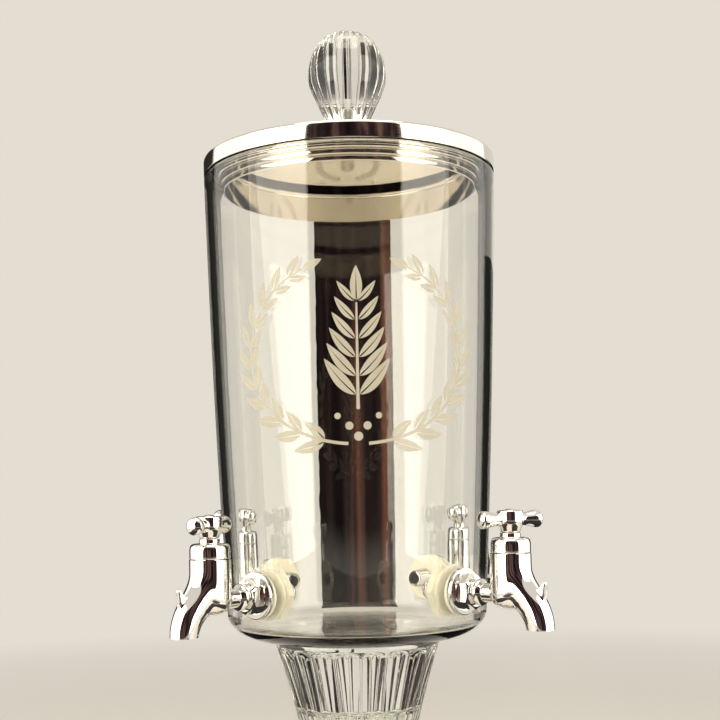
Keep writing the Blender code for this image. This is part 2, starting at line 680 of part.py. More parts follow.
def curve_through(corners, steps):
    """Points on the smooth curve that starts at the first corner, ends at the last and leans to the others."""
    points = []
    for index in range(steps + 1):
        share = index / steps
        rest = 1.0 - share
        weights = (rest ** 3, 3.0 * rest ** 2 * share, 3.0 * rest * share ** 2, share ** 3)
        across = sum(weight * corner[0] for weight, corner in zip(weights, corners))
        up = sum(weight * corner[1] for weight, corner in zip(weights, corners))
        points.append(Vector((across, 0.0, up)))
    return points


def eased(start, end, count):
    """Radii that change steadily from start to end over count points."""
    return [start + (end - start) * index / (count - 1) for index in range(count)]


def barrel_profile():
    return [
        (0.0, BARREL_TOP),
        (BARREL_RADIUS, BARREL_TOP),
        (BARREL_RADIUS, BARREL_BOTTOM + BARREL_CHEEK_HEIGHT),
        (BARREL_CHIN_RADIUS, BARREL_BOTTOM + BARREL_CHIN_HEIGHT),
        (BARREL_BOTTOM_RADIUS, BARREL_BOTTOM),
        (0.0, BARREL_BOTTOM),
    ]


HEX_END = FLANGE_FACE + FLANGE_THICKNESS + INLET_HEX_LENGTH
BEAD_END = HEX_END + INLET_BEAD_LENGTH


def inlet_profile():
    """Neck, bead, flange and threaded stub; the height is the place along the inlet."""
    bead_middle = (HEX_END + BEAD_END) / 2.0
    return [
        (0.0, 0.0),
        (INLET_NECK_RADIUS, 0.0),
        (INLET_NECK_RADIUS, BEAD_END),
        (INLET_BEAD_RADIUS, bead_middle + INLET_BEAD_FLAT / 2.0),
        (INLET_BEAD_RADIUS, bead_middle - INLET_BEAD_FLAT / 2.0),
        (INLET_NECK_RADIUS, HEX_END),
        (INLET_NECK_RADIUS, FLANGE_FACE + FLANGE_THICKNESS),
        (FLANGE_RADIUS - FLANGE_EDGE, FLANGE_FACE + FLANGE_THICKNESS),
        (FLANGE_RADIUS, FLANGE_FACE + FLANGE_THICKNESS - FLANGE_EDGE),
        (FLANGE_RADIUS, FLANGE_FACE),
        (STUB_RADIUS, FLANGE_FACE),
        (STUB_RADIUS, STUB_END),
        (0.0, STUB_END),
    ]


def hex_profile():
    """The spanner hexagon, sunk a little into the flange and the neck that it is one with."""
    low = FLANGE_FACE + FLANGE_THICKNESS / 2.0
    return [
        (0.0, HEX_END),
        (INLET_HEX_RADIUS - INLET_HEX_CHAMFER, HEX_END),
        (INLET_HEX_RADIUS, HEX_END - INLET_HEX_CHAMFER),
        (INLET_HEX_RADIUS, low),
        (0.0, low),
    ]


def make_hook():
    """The bucket hook: a fin that stands up from the outside of the spout's bend and narrows to its tip."""
    shape = bmesh.new()
    bmesh.ops.create_cube(shape, size=1.0)
    for vert in shape.verts:
        upper = vert.co.z > 0.0
        depth = HOOK_TIP_DEPTH if upper else HOOK_ROOT_DEPTH
        vert.co.x = HOOK_OUTSIDE if vert.co.x > 0.0 else HOOK_OUTSIDE - depth
        vert.co.y *= HOOK_TIP_WIDTH if upper else HOOK_ROOT_WIDTH
        vert.co.z = HOOK_TOP if upper else HOOK_FOOT
    mesh = bpy.data.meshes.new("hook")
    shape.to_mesh(mesh)
    shape.free()
    return add_object("hook", mesh, None, CUTTERS)


def tool(name, profile, sides):
    """A turned piece that is only joined to another or cut from it."""
    return turned(name, profile, sides, None, collection=CUTTERS)


def tap_body_mesh():
    body = turned("tap_body", barrel_profile(), BARREL_SIDES, CHROME, collection=CUTTERS)
    inlet = laid_along_inlet(tool("inlet", inlet_profile(), FLANGE_SIDES))
    spanner_hex = laid_along_inlet(tool("spanner_hex", hex_profile(), HEXAGON_SIDES))
    path = curve_through(SPOUT_CORNERS, SPOUT_STEPS)
    spout = tube("spout", path, eased(SPOUT_ROOT_RADIUS, SPOUT_TIP_RADIUS, len(path)), SPOUT_SIDES)
    chamber = tool("chamber", chamber_profile(), BARREL_SIDES)
    seat_bore = tool("seat_bore", disc_profile(SEAT_BORE_RADIUS, 0.0, SEAT_TOP + CUT_OVERRUN), SMALL_SIDES)
    inlet_bore = disc_profile(INLET_BORE_RADIUS, STUB_END - CUT_OVERRUN, SEAT_BORE_RADIUS)
    inlet_drill = laid_along_inlet(tool("inlet_drill", inlet_bore, SMALL_SIDES))
    bore_path = curve_through(SPOUT_BORE_CORNERS, SPOUT_STEPS)
    bore_path.append(bore_path[-1] - Vector((0.0, 0.0, CUT_OVERRUN)))
    bore_radii = eased(SPOUT_BORE_ROOT_RADIUS, SPOUT_BORE_TIP_RADIUS, len(bore_path))
    spout_bore = tube("spout_bore", bore_path, bore_radii, SPOUT_BORE_SIDES)
    joined = [inlet, spanner_hex, spout, make_hook()]
    removed = [chamber, seat_bore, inlet_drill, spout_bore]
    for piece in joined:
        boolean(body, piece, "UNION")
    for piece in removed:
        boolean(body, piece, "DIFFERENCE")
    return as_mesh("tap_body", body, joined + removed, CHROME)


def chamber_profile():
    """The room above the seat, with the seat's raised lip left standing in its floor."""
    return [
        (0.0, BARREL_TOP + CUT_OVERRUN),
        (CHAMBER_RADIUS, BARREL_TOP + CUT_OVERRUN),
        (CHAMBER_RADIUS, CHAMBER_FLOOR),
        (SEAT_LIP_RADIUS, CHAMBER_FLOOR),
        (SEAT_LIP_RADIUS, SEAT_TOP),
        (0.0, SEAT_TOP),
    ]


# Valve pieces, in the tap's own frame

GLAND_BASE = BONNET_TOP - BONNET_GLAND_THICKNESS
O_RING_RADIUS = SPINDLE_RADIUS - O_RING_SECTION
O_RING_CENTRE = GLAND_BASE + O_RING_HEIGHT


def bonnet_profile():
    stem_bore = hole_radius(SPINDLE_RADIUS, RUNNING_GAP, BARREL_SIDES)
    thread_bore = hole_radius(SPINDLE_THREAD_RADIUS, RUNNING_GAP, BARREL_SIDES)
    shoulder = BONNET_BASE + BONNET_SHOULDER_HEIGHT
    round_edge = arc(BARREL_RADIUS - BONNET_ROUND, shoulder - BONNET_ROUND, BONNET_ROUND, 90.0, 0.0, 2)
    return [
        (stem_bore, BONNET_TOP),
        (BONNET_NECK_RADIUS, BONNET_TOP),
        (BONNET_NECK_RADIUS, shoulder),
        *round_edge,
        (BARREL_RADIUS, BONNET_BASE),
        (BONNET_THREAD_RADIUS, BONNET_BASE),
        (BONNET_THREAD_RADIUS, BONNET_FOOT),
        (thread_bore, BONNET_FOOT),
        (thread_bore, GLAND_BASE),
        (stem_bore, GLAND_BASE),
    ]


def spindle_profile():
    """Socket for the jumper at the foot, thread, stem with the ring's groove, and a thin tip."""
    groove_half = O_RING_SECTION + TOUCH_GAP
    groove_radius = SPINDLE_RADIUS - O_RING_GROOVE_DEPTH
    stem_top = HUB_BASE - TOUCH_GAP
    socket_top = SPINDLE_BASE + SPINDLE_SOCKET_DEPTH
    socket_radius = hole_radius(JUMPER_STEM_RADIUS, RUNNING_GAP, SMALL_SIDES)
    return [
        (0.0, HUB_BASE + SPINDLE_TIP_LENGTH),
        (SPINDLE_TIP_RADIUS, HUB_BASE + SPINDLE_TIP_LENGTH),
        (SPINDLE_TIP_RADIUS, stem_top),
        (SPINDLE_RADIUS, stem_top),
        (SPINDLE_RADIUS, O_RING_CENTRE + groove_half),
        (groove_radius, O_RING_CENTRE + groove_half),
        (groove_radius, O_RING_CENTRE - groove_half),
        (SPINDLE_RADIUS, O_RING_CENTRE - groove_half),
        (SPINDLE_RADIUS, SPINDLE_THREAD_TOP),
        (SPINDLE_THREAD_RADIUS, SPINDLE_THREAD_TOP),
        (SPINDLE_THREAD_RADIUS, SPINDLE_BASE),
        (socket_radius, SPINDLE_BASE),
        (socket_radius, socket_top),
        (0.0, socket_top),
    ]


def o_ring_profile():
    return arc(O_RING_RADIUS, O_RING_CENTRE, O_RING_SECTION, 120.0, -180.0, 5)


def jumper_profile():
    top = JUMPER_BASE + JUMPER_THICKNESS
    return [
        (0.0, top + JUMPER_STEM_LENGTH),
        (JUMPER_STEM_RADIUS, top + JUMPER_STEM_LENGTH),
        (JUMPER_STEM_RADIUS, top),
        (JUMPER_RADIUS, top),
        (JUMPER_RADIUS, JUMPER_BASE),
        (0.0, JUMPER_BASE),
    ]


# Handle

HUB_SCREW_SEAT = HUB_TOP - CAP_SCREW_HEAD / 2.0


def hub_profile():
    return [
        (0.0, HUB_TOP),
        (HUB_RADIUS - HUB_ROUND, HUB_TOP),
        (HUB_RADIUS, HUB_TOP - HUB_ROUND),
        (HUB_WAIST_RADIUS, HUB_TOP - HUB_WAIST_DROP),
        (HUB_BASE_RADIUS, HUB_BASE),
        (0.0, HUB_BASE),
    ]


def t_bar_profile():
    """Two arms that are thin at the hub and flare like trumpets to domed ends."""
    flare = T_BAR_END_RADIUS - T_BAR_WAIST_RADIUS
    half = []
    for length_share, flare_share in zip(T_BAR_LENGTH_SHARES, T_BAR_FLARE_SHARES):
        radius = T_BAR_WAIST_RADIUS + flare * flare_share
        half.append((radius, T_BAR_HALF_LENGTH * length_share))
    mirrored = [(radius, -place) for radius, place in reversed(half)]
    return [(0.0, T_BAR_HALF_LENGTH), *half, *mirrored, (0.0, -T_BAR_HALF_LENGTH)]


def handle_mesh():
    hub = turned("handle", hub_profile(), BARREL_SIDES, CHROME, collection=CUTTERS)
    t_bar = laid_along_inlet(turned("t_bar", t_bar_profile(), SMALL_SIDES, None, collection=CUTTERS))
    t_bar.location.z = HUB_TOP - T_BAR_DROP
    head_hole, shank_hole, tip_hole = (
        hole_radius(shaft, TOUCH_GAP, SMALL_SIDES)
        for shaft in (CAP_SCREW_RADIUS, CAP_SCREW_SHANK_RADIUS, SPINDLE_TIP_RADIUS)
    )
    tip_room = HUB_BASE + SPINDLE_TIP_LENGTH + TOUCH_GAP
    socket = [
        (0.0, HUB_TOP + CUT_OVERRUN),
        (head_hole, HUB_TOP + CUT_OVERRUN),
        (head_hole, HUB_SCREW_SEAT - TOUCH_GAP),
        (shank_hole, HUB_SCREW_SEAT - TOUCH_GAP),
        (shank_hole, tip_room),
        (tip_hole, tip_room),
        (tip_hole, HUB_BASE - CUT_OVERRUN),
        (0.0, HUB_BASE - CUT_OVERRUN),
    ]
    drill = turned("handle_drill", socket, SMALL_SIDES, None, collection=CUTTERS)
    boolean(hub, t_bar, "UNION")
    boolean(hub, drill, "DIFFERENCE")
    return as_mesh("handle", hub, [t_bar, drill], CHROME)


def cap_screw_profile():
    return [
        (0.0, HUB_SCREW_SEAT + CAP_SCREW_HEAD),
        (CAP_SCREW_FACE_RADIUS, HUB_SCREW_SEAT + CAP_SCREW_DOME),
        (CAP_SCREW_RADIUS, HUB_SCREW_SEAT + CAP_SCREW_EDGE),
        (CAP_SCREW_RADIUS, HUB_SCREW_SEAT),
        (CAP_SCREW_SHANK_RADIUS, HUB_SCREW_SEAT),
        (CAP_SCREW_SHANK_RADIUS, HUB_SCREW_SEAT - CAP_SCREW_SHANK),
        (0.0, HUB_SCREW_SEAT - CAP_SCREW_SHANK),
    ]


# Gaskets that follow the glass, and the back nut

def glass_cutter(name, inside):
    """The bowl's wall as a solid, a gap larger or smaller than the glass, in the tap's frame."""
    low = TAP_HEIGHT - BOWL_BASE - INNER_GASKET_RADIUS - CUT_OVERRUN
    high = TAP_HEIGHT - BOWL_BASE + INNER_GASKET_RADIUS + CUT_OVERRUN
    if inside:
        skin = wall_points(bowl_inner_radius, high, low, 2, -TOUCH_GAP)
        outside = skin[0][0] + BOWL_WALL + CUT_OVERRUN
        profile = [skin[0], (outside, skin[0][1]), (outside, skin[-1][1]), *reversed(skin[1:])]
        cutter = turned(name, profile, BOWL_SIDES, None, ring=True, collection=CUTTERS)
    else:
        skin = wall_points(bowl_radius, high, low, 2, TOUCH_GAP)
        profile = [(0.0, skin[0][1]), *skin, (0.0, skin[-1][1])]
        cutter = turned(name, profile, BOWL_SIDES, None, collection=CUTTERS)
    cutter.location = (-TAP_REACH, 0.0, -TAP_HEIGHT)
    return cutter


def outer_gasket_mesh():
    bore = hole_radius(STUB_RADIUS, TOUCH_GAP, FLANGE_SIDES)
    profile = ring_profile(bore, OUTER_GASKET_RADIUS, GLASS_OUTSIDE - BOWL_WALL, FLANGE_FACE - TOUCH_GAP)
    gasket = turned("outer_gasket", profile, FLANGE_SIDES, NYLON, ring=True, collection=CUTTERS)
    laid_along_inlet(gasket)
    cutter = glass_cutter("outer_glass", inside=False)
    boolean(gasket, cutter, "DIFFERENCE")
    return in_tap_frame(gasket, [cutter], "outer_gasket")


def inner_gasket_mesh():
    bore = hole_radius(STUB_RADIUS, TOUCH_GAP, FLANGE_SIDES)
    profile = ring_profile(bore, INNER_GASKET_RADIUS, NUT_FACE + TOUCH_GAP, GLASS_INSIDE + BOWL_WALL)
    gasket = turned("inner_gasket", profile, FLANGE_SIDES, NYLON, ring=True, collection=CUTTERS)
    laid_along_inlet(gasket)
    cutter = glass_cutter("inner_glass", inside=True)
    boolean(gasket, cutter, "DIFFERENCE")
    return in_tap_frame(gasket, [cutter], "inner_gasket")


def in_tap_frame(piece, tools, name):
    """Settle a piece that was laid along the inlet, with its turn taken into the mesh."""
    turn = piece.matrix_basis.copy()
    mesh = as_mesh(name, piece, tools, NYLON)
    mesh.transform(turn)
    return mesh


def back_nut_mesh():
    mesh = nut_mesh("back_nut", STUB_RADIUS, BACK_NUT_RADIUS, NUT_END, NUT_FACE, BACK_NUT_CHAMFER, NYLON)
    mesh.transform(Matrix.Rotation(math.pi / 2.0, 4, "Y") @ Matrix.Rotation(math.pi / 6.0, 4, "Z"))
    return mesh


def tap_meshes():
    """Each piece of a tap once: fixed pieces first, then those that turn and those that only rise."""
    fixed = {
        "body": tap_body_mesh(),
        "bonnet": turned_mesh("bonnet", bonnet_profile(), BARREL_SIDES, CHROME, ring=True),
        "outer_gasket": outer_gasket_mesh(),
        "inner_gasket": inner_gasket_mesh(),
        "back_nut": back_nut_mesh(),
    }
    washer = disc_profile(SEAT_WASHER_RADIUS, SEAT_WASHER_BASE, SEAT_WASHER_BASE + SEAT_WASHER_THICKNESS)
    moving = {
        "handle": handle_mesh(),
        "handle_screw": turned_mesh("handle_screw", cap_screw_profile(), SMALL_SIDES, CHROME),
        "spindle": turned_mesh("spindle", spindle_profile(), SMALL_SIDES, BRASS),
        "spindle_ring": turned_mesh("spindle_ring", o_ring_profile(), SMALL_SIDES, RUBBER, ring=True),
        "jumper": turned_mesh("jumper", jumper_profile(), SMALL_SIDES, BRASS),
        "seat_washer": turned_mesh("seat_washer", washer, SMALL_SIDES, RUBBER),
    }
    return fixed, moving


def make_tap(side, fixed, moving):
    """One tap; its frame and the valve's empty stand on the tap's upright axis."""
    azimuth = math.radians(TAP_AZIMUTHS_DEG[side])
    frame = bpy.data.objects.new(f"{side}_tap", None)
    frame.location = (TAP_REACH * math.cos(azimuth), TAP_REACH * math.sin(azimuth), TAP_HEIGHT)
    frame.rotation_euler.z = azimuth
    valve = bpy.data.objects.new(f"{side}_valve", None)
    valve.parent = frame
    valve.rotation_euler.z = math.radians(HANDLE_ANGLES_DEG[side])
    for empty in (frame, valve):
        PARTS.objects.link(empty)
    for part, mesh in fixed.items():
        add_object(f"{side}_tap_{part}", mesh, None).parent = frame
    for part, mesh in moving.items():
        add_object(f"{side}_tap_{part}", mesh, None).parent = valve


make_pedestal()
make_bowl()
make_lid_group()
FIXED_MESHES, MOVING_MESHES = tap_meshes()
for tap_side in TAP_AZIMUTHS_DEG:
    make_tap(tap_side, FIXED_MESHES, MOVING_MESHES)
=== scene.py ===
# %% [markdown]
# # An absinthe fountain, dressed over its solids
#
# The fountain is a glass bowl on a pressed glass pedestal, with a spun metal lid, a ribbed glass knob and
# four small screw-down taps. The solids already say where every piece sits and how it moves. This lesson
# builds the finer outside of each piece on top of them: round glass that refracts cleanly, flutes with
# arched heads, a smooth chrome casting and a frosted sprig. Lengths are in metres, as the solids are.

import math
import bmesh
import bpy
from mathutils import Matrix, Vector
from mathutils.bvhtree import BVHTree
from mathutils.interpolate import poly_3d_calc


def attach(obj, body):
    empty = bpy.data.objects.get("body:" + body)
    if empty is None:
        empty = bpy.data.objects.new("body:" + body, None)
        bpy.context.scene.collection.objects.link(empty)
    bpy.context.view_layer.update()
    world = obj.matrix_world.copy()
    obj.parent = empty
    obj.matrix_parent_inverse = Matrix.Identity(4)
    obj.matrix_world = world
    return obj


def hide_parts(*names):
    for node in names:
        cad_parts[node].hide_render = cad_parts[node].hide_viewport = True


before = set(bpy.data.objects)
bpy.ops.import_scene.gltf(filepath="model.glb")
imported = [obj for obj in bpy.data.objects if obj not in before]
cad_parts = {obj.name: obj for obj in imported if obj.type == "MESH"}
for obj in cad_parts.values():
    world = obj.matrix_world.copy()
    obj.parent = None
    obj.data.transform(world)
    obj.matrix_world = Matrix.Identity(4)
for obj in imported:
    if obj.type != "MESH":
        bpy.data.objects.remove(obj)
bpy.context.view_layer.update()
mm = 0.001

# %% [markdown]
# ## Camera
#
# The picture was taken from a little over half a metre, at about the height of the bowl's middle, and was
# cropped low, so the lens is shifted instead of tilted: that keeps the glass upright. The camera stands a
# few degrees to the left of the front and leans by one degree. A tilted lens would be the other way to
# frame it, but it would make the sides of the bowl run together.

# %% Camera
def placed(name, data, place=None):
    """A new object in the scene; place is where its own frame sits."""
    made = bpy.data.objects.new(name, data)
    bpy.context.scene.collection.objects.link(made)
    if place is not None:
        made.matrix_world = place
    return made

def turned_by(degrees, axis="Z"):
    """A rotation about one axis."""
    return Matrix.Rotation(math.radians(degrees), 4, axis)

photo_side = 720
axis_column = 354.8
horizon_row = 485.0
focal_pixels = 1190.0
eye_height = 229 * mm
eye_distance = 620 * mm
stands_at_degrees = 268.2
lean_degrees = -1.1

lens = bpy.data.cameras.new("camera")
lens.sensor_width = 36.0
lens.lens = focal_pixels / photo_side * lens.sensor_width
lens.shift_x = (photo_side / 2 - axis_column) / photo_side
lens.shift_y = (horizon_row - photo_side / 2) / photo_side
lens.clip_start = 0.01
stands_at = math.radians(stands_at_degrees)
place = Vector((math.cos(stands_at), math.sin(stands_at), 0)) * eye_distance + Vector((0, 0, eye_height))
turn = Matrix.Rotation(stands_at - math.radians(270), 4, "Z")
frame_of_lens = Matrix.Translation(place) @ turn @ turned_by(90, "X") @ turned_by(lean_degrees)
camera = placed("camera", lens, frame_of_lens)
bpy.context.scene.camera = camera
bpy.context.scene.view_settings.view_transform = "Standard"
print(f"lens {lens.lens:.1f} mm, shift {lens.shift_x:.3f}, {lens.shift_y:.3f}")

# %% [markdown]
# ## Colour and nodes
#
# A colour is picked as a hex value, which is sRGB, while a shader wants linear light. One function
# turns one into the other, and one more adds a node with its settings and its links. Every finish below is
# made with these two.

# %% Colour and node helpers
def linear(hex_value):
    """An sRGB hex colour as linear red, green and blue, with an alpha of 1."""
    shades = [int(hex_value[start:start + 2], 16) / 255 for start in (1, 3, 5)]
    return (*[s / 12.92 if s <= 0.04045 else ((s + 0.055) / 1.055) ** 2.4 for s in shades], 1.0)

def add(tree, kind, settings=(), links=(), **attributes):
    """Add a shader node: attributes first, then socket values, then links from (node, output) pairs."""
    node = tree.nodes.new("ShaderNode" + kind)
    for name, value in attributes.items():
        setattr(node, name, value)
    for name, value in dict(settings).items():
        node.inputs[name].default_value = value
    for name, (source, output) in dict(links).items():
        tree.links.new(source.outputs[output], node.inputs[name])
    return node

def new_finish(name, **settings):
    """A material with one Principled shader; settings go straight onto the shader's sockets."""
    material = bpy.data.materials.new(name)
    material.use_nodes = True
    shader = material.node_tree.nodes["Principled BSDF"]
    for socket, value in settings.items():
        shader.inputs[socket.replace("_", " ")].default_value = value
    return material, material.node_tree, shader

print("white is", [round(value, 3) for value in linear("#ffffff")])

# %% [markdown]
# ## Floor and light
#
# A studio would put such glass on a pale sweep, under a big soft light, and stand cards out of view, because
# clear glass and chrome show only what surrounds them. Black cards draw the dark lines along the edges of
# the glass, white ones keep the sides of the chrome bright, and a dim, streaked one in front draws the
# stripe down the middle. They are real planes here, hidden from the camera, and the world itself is the
# soft light. A picture of a room on the world would also work, but it needs a file.

# %% World and floor
backdrop_hex, floor_hex, black_hex = "#e3ddd2", "#dcd4c6", "#0b0a09"

def glowing(tree, hex_value, strength=1.0):
    """A plain glow of one colour."""
    return add(tree, "Emission", {"Color": linear(hex_value), "Strength": strength})

def mixed(tree, share, first, second):
    """A mix of two shaders by a (node, output) pair, whose 1 is all of the second."""
    return add(tree, "MixShader", {}, {0: share, 1: (first, 0), 2: (second, 0)})

def show(tree, surface):
    """Make a shader the surface of its material."""
    tree.links.new(surface.outputs[0], tree.nodes["Material Output"].inputs["Surface"])

def polar(reach, angle, height):
    """A point at a reach from the upright axis, in the direction of an angle."""
    return (reach * math.cos(angle), reach * math.sin(angle), height)

def faced(place, way):
    """A frame at a place whose Z axis points one way while its Y axis stays upright."""
    return Matrix.Translation(place) @ Vector(way).to_track_quat("Z", "Y").to_matrix().to_4x4()

def flat_stage(name, width, height, place, facing, material):
    """A plain rectangle of the studio, standing at a place and facing a point."""
    mesh = bpy.data.meshes.new(name)
    x, y = width / 2, height / 2
    mesh.from_pydata([(-x, -y, 0), (x, -y, 0), (x, y, 0), (-x, y, 0)], [], [(0, 1, 2, 3)])
    mesh.materials.append(material)
    card = placed(name, mesh, faced(place, Vector(facing) - Vector(place)))
    return card

world = bpy.data.worlds.new("studio")
bpy.context.scene.world = world
world.use_nodes = True
tree = world.node_tree
tree.nodes.clear()
# The camera, mirrors and clear glass see the backdrop; dull surfaces are lit by half as much.
path = add(tree, "LightPath")
seen = add(tree, "Math", {}, {0: (path, "Is Camera Ray"), 1: (path, "Is Glossy Ray")}, operation="MAXIMUM")
seen = add(tree, "Math", {}, {0: (seen, 0), 1: (path, "Is Transmission Ray")}, operation="MAXIMUM")
lighting = add(tree, "Background", {"Color": linear("#f4f1ec"), "Strength": 0.5})
backdrop = add(tree, "Background", {"Color": linear(backdrop_hex), "Strength": 1.0})
add(tree, "OutputWorld", {}, {"Surface": (mixed(tree, (seen, 0), lighting, backdrop), 0)})

# The floor fades into the backdrop from 0.45 to 1.3 metres out, so that no horizon shows.
floor_material, tree, shader = new_finish("pale_floor", Base_Color=linear("#e6e1d8"), Roughness=0.6,
                                          Specular_IOR_Level=0.2)
where = add(tree, "NewGeometry")
distance = add(tree, "VectorMath", {}, {0: (where, "Position")}, operation="LENGTH")
far = add(tree, "MapRange", {"From Min": 0.45, "From Max": 1.3}, {"Value": (distance, "Value")})
show(tree, mixed(tree, (far, "Result"), shader, glowing(tree, backdrop_hex)))
flat_stage("floor", 12.0, 12.0, (0, 0, -0.2 * mm), (0, 0, 1), floor_material)
print("floor and world:", floor_material.name, world.name)

# %% Finishes of the cards
tall_middle, tall_height = 1.08, 2.20
front_middle, front_height = 0.50, 1.10
soft_end = 80 * mm  # over this height a card fades into the floor, or the bowl's sides would show a hard edge

def height_fade(tree, low, high):
    """From 0 below low to 1 above high, in the card's own height, as a (node, output) pair."""
    spot = add(tree, "TexCoord")
    up = add(tree, "SeparateXYZ", {}, {"Vector": (spot, "Object")})
    fade = add(tree, "MapRange", {"From Min": low, "From Max": high}, {"Value": (up, "Y")},
               interpolation_type="SMOOTHSTEP")
    return fade, "Result"

def end_softly(tree, surface, floor_level):
    """Fade a card's lowest part into the floor; floor_level is the floor in the card's own height."""
    rise = height_fade(tree, floor_level, floor_level + soft_end)
    show(tree, mixed(tree, rise, glowing(tree, floor_hex), surface))

def dim_card(name, stripes_each_way, shades):
    """A faintly glowing card with soft upright stripes; shades are three of (place on the ramp, hex)."""
    material, tree, _ = new_finish(name, Base_Color=linear(black_hex), Roughness=0.9)
    spot = add(tree, "TexCoord")
    stretch = add(tree, "VectorMath", {1: stripes_each_way}, {0: (spot, "Object")}, operation="MULTIPLY")
    stripes = add(tree, "TexNoise", {"Scale": 1.0, "Detail": 2.0}, {"Vector": (stretch, "Vector")})
    tone = add(tree, "ValToRGB", {}, {"Fac": (stripes, "Fac")})
    tone.color_ramp.elements.new(0.5)
    for element, (place_on_ramp, hex_value) in zip(tone.color_ramp.elements, shades):
        element.position, element.color = place_on_ramp, linear(hex_value)
    glow = add(tree, "Emission", {"Strength": 1.0}, {"Color": (tone, "Color")})
    show(tree, glow)
    return material, tree, glow

black_card, _, _ = new_finish("black_card", Base_Color=linear(black_hex), Roughness=0.9)

# The tall cards fade into the backdrop at their tops, or the knob would show a hard edge across it.
fading_card, tree, shader = new_finish("fading_card", Base_Color=linear(black_hex), Roughness=0.9)
end_softly(tree, mixed(tree, height_fade(tree, -0.10, 1.0), shader, glowing(tree, backdrop_hex)), -tall_middle)

# The side that the camera stands on is a dim warm room, and not quite black: brown, with soft upright
# stripes. Behind the bowl it is darker still, with one brown stripe.
dim_room, tree, glow = dim_card("dim_room", (6.0, 0.9, 1.0),
                                [(0.36, "#0f0c0c"), (0.52, "#33262a"), (0.70, "#7b5d52")])
end_softly(tree, glow, -front_middle)
doorway, _, _ = dim_card("doorway", (26.0, 0.8, 1.0),
                         [(0.42, "#0f0c0b"), (0.58, "#241c1a"), (0.74, "#744a38")])
white_card, tree, _ = new_finish("white_card", Base_Color=linear("#ffffff"), Roughness=0.9)
show(tree, glowing(tree, "#fffaf2", 1.5))
print("cards are finished as", black_card.name, fading_card.name, dim_room.name, doorway.name, white_card.name)

# %% Cards and lamps
# Most cards are seen either in reflections or through the glass, so that each does one job.
card_reach = 1.15
cards = {  # name: (finish, azimuth in degrees, width, height of its middle, height, what sees it)
    "card_front": (dim_room, 272, 1.70, front_middle, front_height, "both"),
    "card_white_left": (white_card, 166, 0.96, 0.50, 1.00, "glossy"),
    "card_white_right": (white_card, 10, 1.10, 0.50, 1.00, "glossy"),
    "card_back_right": (black_card, 55, 0.74, 0.27, 0.54, "glossy"),
    "card_back": (black_card, 108, 1.45, 0.45, 0.95, "glossy"),
    "card_behind": (doorway, 88, 0.14, 0.68, 1.40, "transmission"),
    "card_edge_left": (fading_card, 136, 1.25, tall_middle, tall_height, "transmission"),
    "card_edge_right": (fading_card, 40.5, 1.25, tall_middle, tall_height, "transmission"),
    "card_left": (fading_card, 188, 0.85, tall_middle, tall_height, "transmission"),
    "card_right": (fading_card, 348, 0.85, tall_middle, tall_height, "transmission"),
}
for name, (finish, azimuth, width, mid_height, height, seen_by) in cards.items():
    spot = polar(card_reach, math.radians(azimuth), mid_height)
    card = flat_stage(name, width, height, spot, (0, 0, mid_height), finish)
    card.visible_camera = card.visible_diffuse = card.visible_shadow = False
    card.visible_glossy = seen_by != "transmission"
    card.visible_transmission = seen_by != "glossy"

# Black sheets that lie on the floor darken the undersides of the chrome.
sheets = {"left": (0.30, 0.9, -0.27, 0), "right": (0.30, 0.9, 0.27, 0), "front": (1.4, 0.7, 0, -0.82)}
for name, (width, depth, x, y) in sheets.items():
    under = flat_stage(f"card_under_{name}", width, depth, (x, y, 0.4 * mm), (x, y, 1), black_card)
    under.visible_camera = under.visible_diffuse = under.visible_shadow = under.visible_transmission = False

lamps_point_at = Vector((0, 0, 0.25))
lamps = {  # name: (azimuth, distance, height, width, height of the panel, watts)
    "window_left": (212, 1.1, 0.55, 1.00, 1.1, 11.0),
    "window_right": (328, 1.1, 0.55, 0.80, 1.1, 8.5),
    "overhead": (270, 0.25, 1.35, 0.8, 0.8, 7.0),
}
for name, (azimuth, reach, height, width, panel, watts) in lamps.items():
    lamp = bpy.data.lights.new(name, "AREA")
    lamp.shape = "RECTANGLE"
    lamp.size, lamp.size_y, lamp.energy = width, panel, watts
    lamp.color = linear("#fff6e8")[:3]
    spot = Vector(polar(reach, math.radians(azimuth), height))
    placed(name, lamp, faced(spot, spot - lamps_point_at))
print("cards:", len(cards), "sheets:", len(sheets), "lamps:", len(lamps))

# %% [markdown]
# ## Turned pieces
#
# Most of this object was made on a lathe or in a round mould, so most of it is a profile turned about an
# axis. Blender's Screw and Spin can do that; building the rings directly gives the same mesh and also lets
# the glass have flutes, which are rings whose radius changes on the way round. A profile is written as its
# corners, and each corner is eased, because no spun or pressed edge is quite sharp.

# %% Profiles
def between(low, high, steps):
    """Even steps from low to high, both included."""
    return [low + (high - low) * index / steps for index in range(steps + 1)]

def eased(corners, steps=4):
    """A profile through corners of (radius, height, ease), each rounded off over its ease; both ends stay."""
    points = []
    for index, (radius, height, ease) in enumerate(corners):
        here = Vector((radius, height))
        if ease == 0 or index in (0, len(corners) - 1):
            points.append((radius, height))
            continue
        back = Vector(corners[index - 1][:2]) - here
        ahead = Vector(corners[index + 1][:2]) - here
        start = here + back.normalized() * min(ease, back.length * 0.49)
        end = here + ahead.normalized() * min(ease, ahead.length * 0.49)
        for step in range(steps + 1):
            t = step / steps
            point = start * (1 - t) ** 2 + here * 2 * t * (1 - t) + end * t ** 2
            points.append((point.x, point.y))
    return points

print("eased square corner:", len(eased([(0, 0, 0), (1, 0, 0.2), (1, 1, 0)])), "points")

# %% Skins over rings
def as_mesh(shape, name):
    """A shape that was put together face by face, as a mesh."""
    mesh = bpy.data.meshes.new(name)
    shape.to_mesh(mesh)
    shape.free()
    return mesh

